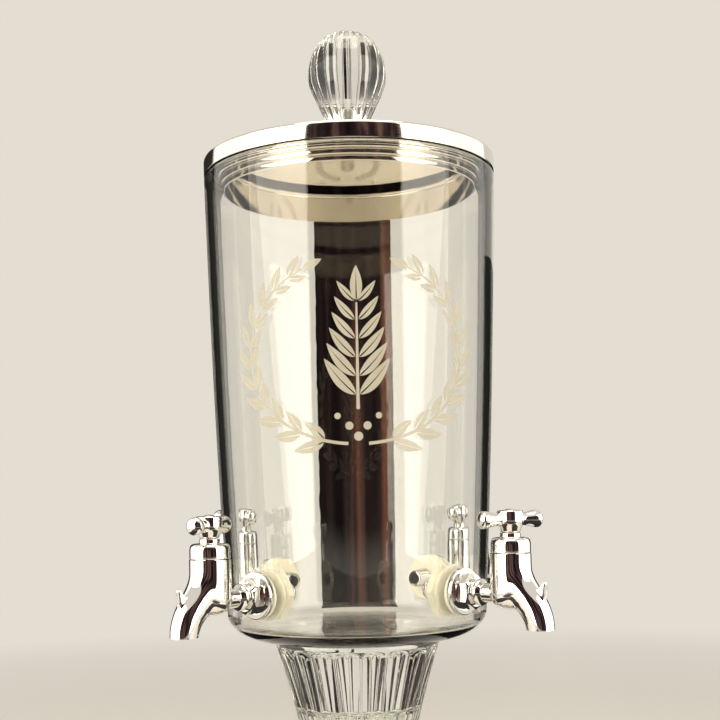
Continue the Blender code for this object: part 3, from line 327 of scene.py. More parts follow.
def smoothed(mesh, sharp_degrees):
    """The same mesh shaded smooth, but sharp where its faces meet at more than an angle."""
    mesh.shade_smooth()
    mesh.set_sharp_from_angle(angle=math.radians(sharp_degrees))
    return mesh

def loft(name, rings, ring=False, sharp_degrees=38):
    """A closed skin over rings of points. Each end runs to one point, unless the rings close on themselves."""
    shape = bmesh.new()
    loops = [[shape.verts.new(point) for point in points] for points in rings]
    pairs = list(zip(loops, loops[1:])) + ([(loops[-1], loops[0])] if ring else [])
    for upper, lower in pairs:
        count = max(len(upper), len(lower))
        for index in range(count):
            after = (index + 1) % count
            corners = [upper[index % len(upper)], lower[index % len(lower)], lower[after % len(lower)],
                       upper[after % len(upper)]]
            shape.faces.new(list(dict.fromkeys(corners)))
    bmesh.ops.recalc_face_normals(shape, faces=shape.faces)
    return smoothed(as_mesh(shape, name), sharp_degrees)

def around(count):
    """Even angles once round."""
    return [2 * math.pi * index / count for index in range(count)]

def round_ring(radius, height, sides):
    """A ring of points, or a single point where the radius is nothing."""
    angles = around(sides) if radius > 1e-9 else [0]
    return [polar(radius, a, height) for a in angles]

def turned(name, profile, sides, ring=False, sharp_degrees=38):
    """A profile of (radius, height) turned about the upright axis."""
    return loft(name, [round_ring(radius, height, sides) for radius, height in profile], ring, sharp_degrees)

print("ring of 4:", [tuple(round(value, 2) for value in point) for point in round_ring(1, 0, 4)])

# %% [markdown]
# ## Finishes
#
# Each finish starts from what the real one is. Glass is clear and smooth, chrome plate is a mirror over a
# casting that is never quite flat, the lid is spun and polished so that fine rings stay in it, and the
# gaskets are natural nylon, which is milky and lets light in. The patterns use the object's own
# coordinates, in metres, so a scale of 1 divided by a length gives details of that length.

# %% Patterns for finishes
def rough_by(tree, shader, pattern, low, high):
    """Let the roughness follow a pattern between two values."""
    spread = add(tree, "MapRange", {"To Min": low, "To Max": high}, {"Value": (pattern, "Fac")})
    tree.links.new(spread.outputs["Result"], shader.inputs["Roughness"])

def tone_by(tree, shader, pattern, first_hex, second_hex):
    """Let the base colour follow a pattern between two shades."""
    tone = add(tree, "Mix", {"A": linear(first_hex), "B": linear(second_hex)}, {}, data_type="RGBA")
    tree.links.new(pattern.outputs["Fac"], tone.inputs["Factor"])
    tree.links.new(tone.outputs["Result"], shader.inputs["Base Color"])

def uneven(tree, shader, size, height, rough=None):
    """Soft unevenness of one size: its height goes to the bump, and a rough range to the roughness."""
    spot = add(tree, "TexCoord")
    noise = add(tree, "TexNoise", {"Scale": 1 / size, "Detail": 3.0}, {"Vector": (spot, "Object")})
    bump = add(tree, "Bump", {"Strength": 1.0, "Distance": height}, {"Height": (noise, "Fac")})
    tree.links.new(bump.outputs["Normal"], shader.inputs["Normal"])
    if rough:
        rough_by(tree, shader, noise, *rough)
    return spot, noise, bump

print("waves 35 mm across have a scale of", round(1 / (35 * mm), 1))

# %% Clear glass and pressed glass
# Blown clear glass: the eye gets clean edges and a slow waviness, about a thumb's width across.
clear_glass, tree, shader = new_finish("clear_glass", Base_Color=linear("#fbfbf7"), IOR=1.5,
                                       Transmission_Weight=1.0)
uneven(tree, shader, 35 * mm, 0.05 * mm, (0.0, 0.012))

# Pressed glass: fire polished after the mould, which leaves a shallow peel a few millimetres across.
pressed_glass, tree, shader = new_finish("pressed_glass", Base_Color=linear("#f9faf5"), IOR=1.52,
                                         Transmission_Weight=1.0)
uneven(tree, shader, 5 * mm, 0.01 * mm, (0.0, 0.02))
print("glass:", clear_glass.name, pressed_glass.name)

# %% Metals
# Spun nickel-plated lid: polished against its turning, so rings 0.3 mm apart stay in it. They are drawn
# 0.8 mm apart here, or they would be finer than a pixel.
spun_nickel, tree, shader = new_finish("spun_nickel", Base_Color=linear("#ebe6dc"), Metallic=1.0)
spot, _, bump = uneven(tree, shader, 28 * mm, 0.05 * mm)
flat = add(tree, "VectorMath", {1: (1.0, 1.0, 0.35)}, {0: (spot, "Object")}, operation="MULTIPLY")
reach = add(tree, "VectorMath", {}, {0: (flat, "Vector")}, operation="LENGTH")
rings = add(tree, "TexNoise", {"Scale": 1 / (0.8 * mm), "Detail": 4.0}, {"W": (reach, "Value")},
            noise_dimensions="1D")
rough_by(tree, shader, rings, 0.04, 0.11)
fine = add(tree, "Bump", {"Strength": 0.5, "Distance": 0.006 * mm},
           {"Height": (rings, "Fac"), "Normal": (bump, "Normal")})
tree.links.new(fine.outputs["Normal"], shader.inputs["Normal"])

# Chrome plate on a small brass casting: a mirror with a wavy surface, and a few duller spots of handling.
chrome_plate, tree, shader = new_finish("chrome_plate", Base_Color=linear("#efedea"), Metallic=1.0)
uneven(tree, shader, 9 * mm, 0.015 * mm, (0.02, 0.08))

# Machined brass inside the tap: turning marks across it, golden and a little dull.
machined_brass, tree, shader = new_finish("machined_brass", Base_Color=linear("#c8a24e"), Metallic=1.0)
spot, _, _ = uneven(tree, shader, 4 * mm, 0.02 * mm)
turning = add(tree, "TexWave", {"Scale": 1 / (3.2 * mm), "Distortion": 0.4},
              {"Vector": (spot, "Object")}, bands_direction="Z")
rough_by(tree, shader, turning, 0.22, 0.38)

# Plain stainless stud, washer and nut: drawn and tumbled, so evenly dull.
tumbled_steel, tree, shader = new_finish("tumbled_steel", Base_Color=linear("#bab6ae"), Metallic=1.0)
uneven(tree, shader, 1.2 * mm, 0.02 * mm, (0.24, 0.40))
print("metals:", spun_nickel.name, chrome_plate.name, machined_brass.name, tumbled_steel.name)

# %% Nylon, rubber and sandblasted glass
# Natural nylon, moulded: cream and milky, light goes a few millimetres into it.
natural_nylon, tree, shader = new_finish("natural_nylon", Subsurface_Weight=0.6, Subsurface_Scale=4 * mm,
                                         Subsurface_Radius=(1.0, 0.85, 0.6), IOR=1.53)
_, noise, _ = uneven(tree, shader, 2.5 * mm, 0.03 * mm, (0.34, 0.5))
tone_by(tree, shader, noise, "#f6edd0", "#fdf8e6")

# Black nitrile rubber of the seals: dull, with a fine moulded grain.
seal_rubber, tree, shader = new_finish("seal_rubber", Base_Color=linear("#1b1a19"))
uneven(tree, shader, 0.6 * mm, 0.04 * mm, (0.6, 0.8))

# Sandblasted glass of the sprig: the grit is about 0.1 mm and drawn at 0.35 mm. It scatters light instead
# of passing it, so it reads as a warm pale grey against the clear wall.
frosted_glass, tree, shader = new_finish("frosted_glass", Roughness=0.85, IOR=1.5, Alpha=0.82)
spot, _, _ = uneven(tree, shader, 0.35 * mm, 0.05 * mm)
cloud = add(tree, "TexNoise", {"Scale": 1 / (12 * mm), "Detail": 2.0}, {"Vector": (spot, "Object")})
tone_by(tree, shader, cloud, "#b7b09a", "#d0cab6")
print("others:", natural_nylon.name, seal_rubber.name, frosted_glass.name)

# %% [markdown]
# ## Bowl
#
# The bowl is blown or cast clear glass, a little wider at the rim than at the foot, with a rounded bottom
# corner and a floor thicker than its wall. Its wall is a real wall with an inner and an outer face, since
# glass bends light at both, and a single skin would look like a soap bubble. Four holes are cut through it
# for the taps. A cut leaves long thin faces round each hole, and glass shows every one of them, so the
# smooth directions of the uncut bowl are copied back onto the cut one afterwards.

# %% Bowl sizes
pedestal_height = 150 * mm
touch = 0.3 * mm
bowl_base = pedestal_height + touch
bowl_height, bowl_foot, bowl_rim = 237.9 * mm, 66.4 * mm, 75 * mm
bowl_belly, bowl_wall, bowl_floor = 0.9 * mm, 4 * mm, 7 * mm
tap_above_foot = 26.7 * mm
tap_height = bowl_base + tap_above_foot
tap_azimuths = {"front_left": 225, "front_right": 315, "rear_left": 135, "rear_right": 45}

def bowl_radius(height):
    """Outer radius of the bowl above its underside."""
    share = height / bowl_height
    return bowl_foot + (bowl_rim - bowl_foot) * share + bowl_belly * math.sin(math.pi * share)

tap_out = 30.7 * mm  # from the glass to the tap's upright axis
tap_reach = bowl_radius(tap_above_foot) + tap_out

def quarter(middle_radius, middle_height, radius, start, end, steps):
    """Points on an arc of a profile, with its angles in degrees."""
    angles = [math.radians(angle) for angle in between(start, end, steps)]
    return [(middle_radius + radius * math.cos(a), middle_height + radius * math.sin(a)) for a in angles]

print("bowl rim at", round((bowl_base + bowl_height) / mm, 1), "mm; wall", bowl_wall / mm, "mm")

# %% Pieces and cuts
def piece(name, mesh, material, body, replaces=(), place=None):
    """A mesh as a piece of the object, riding on a body; place is where its own frame sits."""
    if not mesh.materials:
        mesh.materials.append(material)
    made = placed(name, mesh, place)
    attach(made, body)
    if replaces:
        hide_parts(*replaces)
    return made

def rod(name, radius, first, last, sides):
    """A plain cylinder from one height to another; with few sides it is a prism."""
    return turned(name, [(0, first), (radius, first), (radius, last), (0, last)], sides)

def moved(mesh, matrix):
    """The same mesh moved by a matrix."""
    mesh.transform(matrix)
    mesh.update()
    return mesh

along_inlet = turned_by(90, "Y")  # lays a turned piece on its side

def baked(worked, name, tools=()):
    """The mesh that an object's modifiers give; the object and its tools are cleared away."""
    bpy.context.view_layer.update()
    result = bpy.data.meshes.new_from_object(worked.evaluated_get(bpy.context.evaluated_depsgraph_get()))
    result.name = name
    for used in [worked, *tools]:
        bpy.data.objects.remove(used)
    return result

def with_cuts(name, mesh, cutters):
    """A mesh with others cut out of it, one after another."""
    worked = placed(name, mesh)
    tools = [placed("tool", cutter) for cutter in cutters]
    for tool in tools:
        modifier = worked.modifiers.new("cut", "BOOLEAN")
        modifier.operation = "DIFFERENCE"
        modifier.object = tool
        modifier.material_mode = "INDEX"
    return baked(worked, name, tools)

print("along the inlet, up becomes", tuple(round(value) for value in along_inlet @ Vector((0, 0, 1))))

# %% Bowl
corner_width, corner, inner_corner, lip = 22.4 * mm, 14 * mm, 6 * mm, 1.7 * mm
inside_low, rim_low = bowl_floor + inner_corner, bowl_height - lip
profile = [(0, bowl_base + bowl_floor)]
profile += [(radius, bowl_base + bowl_floor) for radius in between(0.012, 0.048, 3)]
inner_reach = bowl_radius(inside_low) - bowl_wall - inner_corner
profile += quarter(inner_reach, bowl_base + inside_low, inner_corner, -90, 0, 10)
profile += [(bowl_radius(h) - bowl_wall, bowl_base + h) for h in between(inside_low, rim_low, 40)[1:-1]]
profile += quarter(bowl_radius(rim_low) - bowl_wall + lip, bowl_base + rim_low, lip, 180, 90, 6)
profile += quarter(bowl_radius(rim_low) - lip, bowl_base + rim_low, lip, 90, 0, 6)
profile += [(bowl_radius(h), bowl_base + h) for h in between(rim_low, corner, 40)[1:-1]]
for angle in between(0, -90, 18):
    a = math.radians(angle)
    reach = bowl_radius(corner) - corner_width * (1 - math.cos(a))
    profile.append((reach, bowl_base + corner * (1 + math.sin(a))))
profile += [(radius, bowl_base) for radius in between(0.036, 0.012, 2)]
profile += [(0, bowl_base)]
plain_bowl = turned("plain_bowl", profile, 144, sharp_degrees=60)

hole_drills, hole_radius, drill_half = [], 6 * mm, 8 * mm
middle_of_wall = Matrix.Translation((bowl_radius(tap_height - bowl_base) - bowl_wall / 2, 0, tap_height))
for azimuth in tap_azimuths.values():
    drill = rod("drill", hole_radius, drill_half, -drill_half, 48)
    hole_drills.append(moved(drill, turned_by(azimuth) @ middle_of_wall @ along_inlet))
bowl_mesh = with_cuts("bowl_glass", plain_bowl, hole_drills)
print("bowl faces:", len(plain_bowl.polygons), "before the holes,", len(bowl_mesh.polygons), "after")

# %% Smooth glass round the holes
def smooth_directions(cut, plain):
    """Copy the plain mesh's smooth directions onto the cut one; the walls of the holes keep their own."""
    on_surface, alike, near = 0.2 * mm, 0.9, 0.7  # a distance, and cosines between two directions
    surface = BVHTree.FromPolygons([v.co for v in plain.vertices], [p.vertices for p in plain.polygons])
    directions = []
    for polygon in cut.polygons:
        _, plain_normal, _, gap = surface.find_nearest(polygon.center)
        is_hole = gap > on_surface or abs(plain_normal.dot(polygon.normal)) < alike
        for vertex in polygon.vertices:
            direction = polygon.normal.copy()
            if not is_hole:
                spot, _, index, _ = surface.find_nearest(cut.vertices[vertex].co)
                face = plain.polygons[index].vertices
                weights = poly_3d_calc([plain.vertices[v].co for v in face], spot)
                smooth = sum((plain.vertices[v].normal * w for v, w in zip(face, weights)), Vector())
                direction = smooth.normalized() if smooth.dot(polygon.normal) > near else direction
            directions.append(direction)
    cut.shade_smooth()
    cut.normals_split_custom_set(directions)

smooth_directions(bowl_mesh, plain_bowl)
bowl_piece = piece("bowl_glass", bowl_mesh, clear_glass, "root", ["bowl"])
bowl_piece.visible_shadow = False  # so that the lamps reach what is inside, as they do through real glass
print("placed", bowl_piece.name, "with", len(bowl_mesh.loops), "directions")

# %% [markdown]
# ## Pedestal
#
# The pedestal was pressed in a mould: a plain collar, then twenty hollow flutes with round heads that meet
# in sharp ridges, a waist and a wide foot. It is hollow from below, up to a solid top. The ridges catch the
# light as thin bright lines. A bump texture could draw the flutes, but glass shows what is behind it
# through the flutes' own curves, so they are modelled: each ring of points dips between the ridges, and
# the dip starts lower near a ridge than in the middle of a flute, which is what draws the round heads.

# %% Rings with ridges
def smooth_step(value):
    """0 below 0, 1 above 1 and a smooth rise between."""
    value = min(1.0, max(0.0, value))
    return value * value * (3 - 2 * value)

def ridged_ring(radius, height, ridges, points_each, dip):
    """A ring with ridges; between two of them, at each share of the way across, it dips by dip(share)."""
    total = ridges * points_each
    ring = []
    for index in range(total):
        angle = -math.pi / 2 + 2 * math.pi * index / total
        ring.append(polar(radius - dip((index % points_each) / points_each), angle, height))
    return ring

print("smooth step at a quarter:", smooth_step(0.25))

# %% Pedestal
flutes, flute_points, flute_depth, flute_head = 20, 12, 1.6 * mm, 4.2 * mm
collar_low = pedestal_height - 2.4 * mm
top_radius, waist_radius, waist_height = 42.8 * mm, 24 * mm, 66 * mm
foot_radius, foot_edge, foot_hollow, pressed_wall = 68 * mm, 6 * mm, 59 * mm, 5.5 * mm
head_run = 1.3 * mm  # the height over which a flute deepens at its head
ceiling = pedestal_height - 34 * mm

def ridge_radius(height):
    """Radius at the ridges, from the collar through the waist to the foot."""
    if height >= waist_height:
        share = min(1.0, (height - waist_height) / (collar_low - waist_height))
        return waist_radius + (top_radius - waist_radius) * share ** 1.36
    share = min(1.0, (waist_height - height) / (waist_height - foot_edge))
    return waist_radius + (foot_radius - waist_radius) * share ** 2.2

def fluted_ring(radius, height, depth, head=None):
    """A ring of the pedestal; head is the height at which the flutes' round heads begin."""
    def dip(across):
        fade = 1.0
        if head is not None:
            begins = head - flute_head * (1 - math.sqrt(max(0.0, 1 - (2 * across - 1) ** 2)))
            fade = smooth_step((begins - height) / head_run)
        return depth * math.sin(math.pi * across) * fade
    return ridged_ring(radius, height, flutes, flute_points, dip)

rings = [[(0, 0, pedestal_height)]]
for radius, height in eased([(20 * mm, pedestal_height, 0), (top_radius, pedestal_height, 1.5 * mm),
                             (top_radius, collar_low + 1 * mm, 0)], 6):
    rings.append(fluted_ring(radius, height, 0))
heights = between(collar_low + 0.4 * mm, collar_low - 7 * mm, 20)
heights += between(collar_low - 9 * mm, foot_edge + 1 * mm, 56)
for height in heights:
    depth = flute_depth
    if height < waist_height:
        depth *= (height - foot_edge) / (waist_height - foot_edge)
    rings.append(fluted_ring(ridge_radius(height), height, depth, head=collar_low + 0.2 * mm))
for radius, height in eased([(foot_radius, foot_edge, 0), (foot_radius, 0, 1.5 * mm),
                             (foot_hollow, 0, 1.0 * mm), (foot_hollow, 3 * mm, 0)], 5):
    rings.append(fluted_ring(radius, height, 0))
for height in between(3.5 * mm, waist_height, 26):
    share = 1 - height / waist_height
    reach = min(foot_hollow, ridge_radius(height + pressed_wall * share) - pressed_wall)
    rings.append(fluted_ring(reach, height, 0))
for height in between(waist_height + 3 * mm, ceiling - 2 * mm, 24):
    rings.append(fluted_ring(ridge_radius(height) - pressed_wall, height, 0))
rings.append(fluted_ring(ridge_radius(ceiling) - pressed_wall - 2 * mm, ceiling, 0))
rings.append([(0, 0, ceiling)])
pedestal_mesh = loft("pedestal_glass", rings, sharp_degrees=70)
piece("pedestal_glass", pedestal_mesh, pressed_glass, "root", ["pedestal"])
print("pedestal rings:", len(rings), "faces:", len(pedestal_mesh.polygons))

# %% [markdown]
# ## Lid and its skirt
#
# The lid is spun from sheet: a flat band round the edge, a rolled edge above it, and a low dome. Under it a
# second spun ring has three rolled ridges, each a little narrower than the one above, and it centres the
# lid inside the rim. The ridges show through the glass as bright rings, so each gets a real bead, rounded
# at its edges and nearly flat across.

# %% Lid
lid_base = bowl_base + bowl_height + touch
band_height, band_width, sheet, dome_rise = 8.4 * mm, 4.6 * mm, 1.2 * mm, 11.5 * mm
band_top = lid_base + band_height
lid_crown = band_top + dome_rise
stud_room, rolled = 2.9 * mm, 1.6 * mm
dome_edge = bowl_rim - rolled
lid_inside = bowl_rim - band_width

def dome(radius, reach, edge):
    """Height of the low dome at a radius, from its edge height up to its crown."""
    return edge + dome_rise * (1 - (radius / reach) ** 2)

profile = [(r, dome(r, dome_edge, band_top)) for r in between(stud_room, dome_edge - 0.6 * mm, 28)]
profile += quarter(dome_edge, band_top - rolled, rolled, 80, 0, 8)
profile += eased([(bowl_rim, band_top - 2 * mm, 0), (bowl_rim, lid_base, 0.6 * mm),
                  (lid_inside, lid_base, 0.6 * mm), (lid_inside, band_top - sheet - 1 * mm, 0)], 4)
profile += [(r, dome(r, lid_inside, band_top - sheet)) for r in between(lid_inside - 0.8 * mm, stud_room, 20)]
lid_mesh = turned("lid_spun", profile, 160, ring=True, sharp_degrees=50)
piece("lid_spun", lid_mesh, spun_nickel, "lid", ["lid"])
print("lid crown at", round(lid_crown / mm, 1), "mm")

# %% Skirt
skirt_radius, skirt_step, skirt_wall, skirt_depth = 68.4 * mm, 1.4 * mm, 1.0 * mm, 8.2 * mm
skirt_top = band_top - sheet - touch
skirt_low = bowl_base + bowl_height - skirt_depth
ridge, bead_reach = skirt_depth / 3, 0.9 * mm
outer = [(skirt_radius, skirt_top), (skirt_radius, skirt_top - 3 * mm)]
for step in range(3):
    reach = skirt_radius - skirt_step * step
    middle_height = skirt_low + ridge * (2.5 - step)
    for angle in between(78, -78, 10):
        a = math.radians(angle)
        outer.append((reach - bead_reach + bead_reach * math.cos(a) ** 0.4,
                      middle_height + ridge * 0.49 * math.sin(a)))
inner_reach = skirt_radius - skirt_step * 2 - skirt_wall
flange_reach = skirt_radius - 6 * mm
inner = eased([(inner_reach, skirt_low + 0.1 * mm, 0), (inner_reach, skirt_top - skirt_wall, 1 * mm),
               (flange_reach, skirt_top - skirt_wall, 0.3 * mm), (flange_reach, skirt_top, 0)], 4)
skirt_mesh = turned("skirt_spun", outer + inner, 160, ring=True, sharp_degrees=40)
piece("skirt_spun", skirt_mesh, spun_nickel, "lid", ["lid_skirt"])
print("skirt from", round(skirt_low / mm, 1), "to", round(skirt_top / mm, 1), "mm")

# %% [markdown]
# ## Knob
#
# The knob is pressed glass, solid but for the hole its stud is cemented into. Twenty narrow ribs run over
# it from the neck to the crown, with wide, smooth panels between them. Each rib bends the light on its
# own, which draws the thin lines, while the panels stay clear. Its upper part is fuller than a ball and
# its lower part draws in to a neck.

# %% Knob
def in_mm(*rows):
    """Rows of millimetres as rows of metres."""
    return [tuple(value * mm for value in row) for row in rows]

knob_base = lid_crown + touch
knob_height, knob_radius, knob_middle = 55.6 * mm, 20.2 * mm, 33 * mm
ribs, rib_points, rib_depth = 20, 14, 0.5 * mm
panel_power, crown_power = 0.45, 2 / 2.2  # the less, the flatter a panel; under 1 makes the crown full

def knob_ring(radius, height, depth):
    """A ring of the knob, with a narrow ridge at each rib and a wide panel between two ribs."""
    def dip(across):
        return depth * math.sin(math.pi * across) ** panel_power
    return ridged_ring(radius, knob_base + height, ribs, rib_points, dip)

outline = []
for angle in between(86, 0, 22):
    a = math.radians(angle)
    rise = (knob_height - knob_middle) * math.sin(a) ** crown_power
    outline.append((knob_radius * math.cos(a) ** crown_power, knob_middle + rise))
outline += in_mm((20.15, 31.4), (20.0, 29.8), (19.65, 28.0), (19.1, 26.2), (18.4, 24.4), (17.6, 22.6),
                 (16.75, 20.8), (15.9, 19.0), (15.05, 17.2), (14.2, 15.4), (13.35, 13.6), (12.5, 11.8))
neck_outline = in_mm((11.7, 10.2), (10.9, 8.7), (10.2, 7.3), (9.6, 6.0), (9.3, 5.0), (9.5, 4.1), (10.5, 3.2),
                     (11.2, 2.5), (11.2, 0.8), (10.6, 0.05))
hole_top, stud_hole = 16.3 * mm, 2.85 * mm
rings = [[(0, 0, knob_base + knob_height)]]
for radius, height in outline:
    depth = rib_depth * min(1.0, radius / (0.55 * knob_radius))
    if radius > 0.05 * mm:
        rings.append(knob_ring(radius, height, depth))
for radius, height in neck_outline:
    depth = rib_depth * 0.6 * max(0.0, min(1.0, (height - 3 * mm) / (4 * mm)))
    rings.append(knob_ring(radius, height, depth))
for radius, height in [(stud_hole, 0.05 * mm), (stud_hole, hole_top)]:
    rings.append(knob_ring(radius, height, 0))
rings.append([(0, 0, knob_base + hole_top)])
knob_mesh = loft("knob_glass", rings, sharp_degrees=75)
piece("knob_glass", knob_mesh, pressed_glass, "lid", ["knob"])
print("knob faces:", len(knob_mesh.polygons))

# %% [markdown]
# ## Stud, washer and nut
#
# They hold the knob from below and are seen only when the lid is lifted. The solids already have the right
# shapes, so the solids stay. A bevel on their edges and a tumbled steel finish are all they need.

# %% Stud, washer and nut
steel_edge = 0.15 * mm

def dress(node, material):
    """Give a solid of the frame its finish, and round its edges a little."""
    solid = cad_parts[node]
    solid.data.materials.clear()
    solid.data.materials.append(material)
    bevel = solid.modifiers.new("edge", "BEVEL")
    bevel.width = steel_edge
    bevel.segments = 2
    bevel.limit_method = "ANGLE"
    bevel.angle_limit = math.radians(40)
    bevel.harden_normals = True

for node in ("knob_stud", "knob_washer", "knob_nut"):
    dress(node, tumbled_steel)
print("finished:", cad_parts["knob_nut"].name)

# %% [markdown]
# ## Taps: the casting
#
# Each tap body is one brass casting, turned and threaded where it has to be and then chrome plated. Where
# the barrel, the spout and the bucket hook meet, a casting flows from one into the next. A voxel remesh
# merges barrel and spout, and many small smoothing steps let one run into the other, as the foundry's
# pattern does. Hook and neck join after that with less smoothing. Both ends are made too long and cut level
# last, with the chamber, the seat and the waterways, so they stay crisp. All four taps share one mesh.

# %% Merging castings
smoothing_factor = 0.6

def joined(name, meshes):
    """Several meshes as one, each keeping its own sharp edges."""
    shape = bmesh.new()
    for mesh in meshes:
        shape.from_mesh(mesh)
    return as_mesh(shape, name)

def merged(name, meshes, voxel, smoothing_steps):
    """Closed meshes remeshed as one skin and smoothed, so that they flow into each other."""
    worked = placed(name, joined(name, meshes))
    remesh = worked.modifiers.new("remesh", "REMESH")
    remesh.mode = "VOXEL"
    remesh.voxel_size = voxel
    smooth = worked.modifiers.new("smooth", "SMOOTH")
    smooth.iterations = smoothing_steps
    smooth.factor = smoothing_factor
    return baked(worked, name)

print("each smoothing step goes", smoothing_factor, "of the way to the middle of a point's neighbours")

# %% Barrel and spout
barrel_radius, barrel_top, flange_face = 9.4 * mm, 19 * mm, -tap_out + 1.5 * mm
nut_face = -tap_out - bowl_wall - 2.9 * mm
nut_end = nut_face - 4.6 * mm
stub_end = nut_end - 8.8 * mm
bead_end = flange_face + 14.4 * mm
bore = 2.9 * mm
shrink = 0.28 * mm  # what the smoothing takes off a round this size
overlong = 4 * mm  # both ends are made this much too long and cut level later
barrel_reach = barrel_radius + shrink
barrel = turned("barrel", eased([(0, -7 * mm, 0), (4 * mm, -7 * mm, 1.5 * mm), (7.8 * mm, -5.4 * mm, 1.5 * mm),
                                 (barrel_reach, -2.3 * mm, 1.5 * mm), (barrel_reach, barrel_top + overlong, 0),
                                 (0, barrel_top + overlong, 0)], 4), 64)

# Both curves run down to the mouth; the four corners of each are in millimetres, out and up.
spout_corners = [(0.9, 13.0), (1.6, 1.0), (15.2, -2.2), (16.0, -15.5)]
bore_corners = [(6.0, 8.2), (6.0, 0.8), *spout_corners[2:]]
mouth_out, mouth_up = spout_corners[-1]
mouth = (mouth_out * mm, 0, mouth_up * mm)

def curve_point(corners, t):
    """A point at share t of a curve in the tap's middle plane."""
    shares = [(1 - t) ** 3, 3 * (1 - t) ** 2 * t, 3 * (1 - t) * t * t, t ** 3]
    return sum((Vector((out, 0, up)) * share for (out, up), share in zip(corners, shares)), Vector()) * mm

def bent_tube(name, corners, radii, sides, overrun):
    """A round tube along a curve; at the mouth it is level and runs straight down by the overrun."""
    shares = between(0, 1, len(radii) - 1)
    rings = [[curve_point(corners, 0)]]
    for index, (share, radius) in enumerate(zip(shares, radii)):
        ahead, behind = curve_point(corners, min(1, share + 0.01)), curve_point(corners, max(0, share - 0.01))
        way = (ahead - behind).normalized()
        if index == len(shares) - 1:
            way = Vector((0, 0, -1))
        out = way.cross(Vector((0, 1, 0)))
        middle = curve_point(corners, share)
        rings.append([middle + out * (radius * math.cos(a)) + Vector((0, radius * math.sin(a), 0))
                      for a in around(sides)])
    rings.append([point - Vector((0, 0, overrun)) for point in rings[-1]])
    rings.append([sum((Vector(point) for point in rings[-1]), Vector()) / sides])
    return loft(name, rings)

# The spout swells where it leaves the barrel and then tapers to its mouth.
spout_radii = [(8.6 + 0.9 * min(1, s / 0.2) - 2.9 * s ** 0.8) * mm for s in between(0, 1, 28)]
spout = bent_tube("spout", spout_corners, spout_radii, 40, overlong)
flowing = merged("barrel_and_spout", [barrel, spout], voxel=0.4 * mm, smoothing_steps=110)
print("barrel and spout:", len(flowing.polygons), "faces")

# %% Hook, neck and the whole casting
def squarish(wave, half):
    """A share of half from a sine or cosine; a ring of them is a rectangle with rounded corners."""
    return half * math.copysign(abs(wave) ** 0.6, wave)

# The hook is a wedge that thins upwards to a small tip, with rounded corners all the way.
hook_rings = []
for share in between(0, 1, 8):
    height = (-6.0 + 12.4 * share) * mm
    depth, width = (11.4 - 10.2 * share) * mm, (4.8 - 2.0 * share) * mm
    middle = (18.9 + 0.7 * share ** 1.5) * mm - depth / 2
    hook_rings.append([(middle + squarish(math.cos(a), depth / 2), squarish(math.sin(a), width / 2), height)
                       for a in around(16)])
low_middle = [(16 * mm, 0, -6 * mm)]
top_middle = [(19 * mm, 0, 6.6 * mm)]
hook = loft("hook", [low_middle, *hook_rings, top_middle])
neck_top = bead_end - 0.2 * mm
neck = moved(rod("neck", 4.7 * mm, neck_top, 0, 40), along_inlet)
solid_casting = merged("casting", [flowing, neck, hook], voxel=0.34 * mm, smoothing_steps=9)
print("casting faces:", len(solid_casting.polygons))

# %% Waterways in the casting
over, clear = 1 * mm, 6 * mm  # how far a cut overruns what it cuts, and how deep a levelling cut is
above = rod("above", 12 * mm, barrel_top + clear, barrel_top, 32)
below = moved(rod("below", 9 * mm, 0, -clear, 32), Matrix.Translation(mouth))
chamber = turned("chamber", [(0, barrel_top + over), (6.5 * mm, barrel_top + over), (6.5 * mm, 5 * mm),
                             (3.6 * mm, 5 * mm), (3.6 * mm, 6 * mm), (0, 6 * mm)], 48)
seat_bore = rod("seat_bore", 2.4 * mm, 6 * mm + over, 0, 32)
inlet_drill = moved(rod("inlet_drill", bore, bead_end - over, 2.4 * mm, 32), along_inlet)
spout_bore = bent_tube("spout_bore", bore_corners, [(1.9 + 1.9 * s) * mm for s in between(0, 1, 20)], 32, over)
waterway = [chamber, seat_bore, inlet_drill, spout_bore]
casting_mesh = smoothed(with_cuts("tap_casting", solid_casting, [above, *waterway, below]), 42)
print("casting with waterways:", len(casting_mesh.polygons), "faces")

# %% [markdown]
# ## Taps: the inlet
#
# Outside the glass the inlet has a flange, a hexagon for the spanner and a bead, and through the hole in the
# glass runs its threaded stub. They are turned on the same casting, so they touch it and share its plate.
# The thread is a ring whose radius follows a saw wave that climbs one pitch each turn.

# %% Inlet
def hexagon_nut(name, corner_radius, hole, low, high, chamfer):
    """A bored hexagon whose corners are turned off at both faces, each by a cone."""
    prism = rod("prism", corner_radius, high, low, 6)
    start = corner_radius * math.cos(math.pi / 6) - 0.5 * chamfer
    end = corner_radius + over
    drop = chamfer * (end - start) / (corner_radius - start)
    cuts = [rod("bore", hole, high + over, low - over, 48)]
    for face, way in ((high, 1), (low, -1)):
        tool = [(start, face), (start, face + way * chamfer), (end, face + way * chamfer)]
        cuts.append(turned("turning_tool", [*tool, (end, face - way * drop)], 72, ring=True))
    return smoothed(with_cuts(name, prism, cuts), 24)

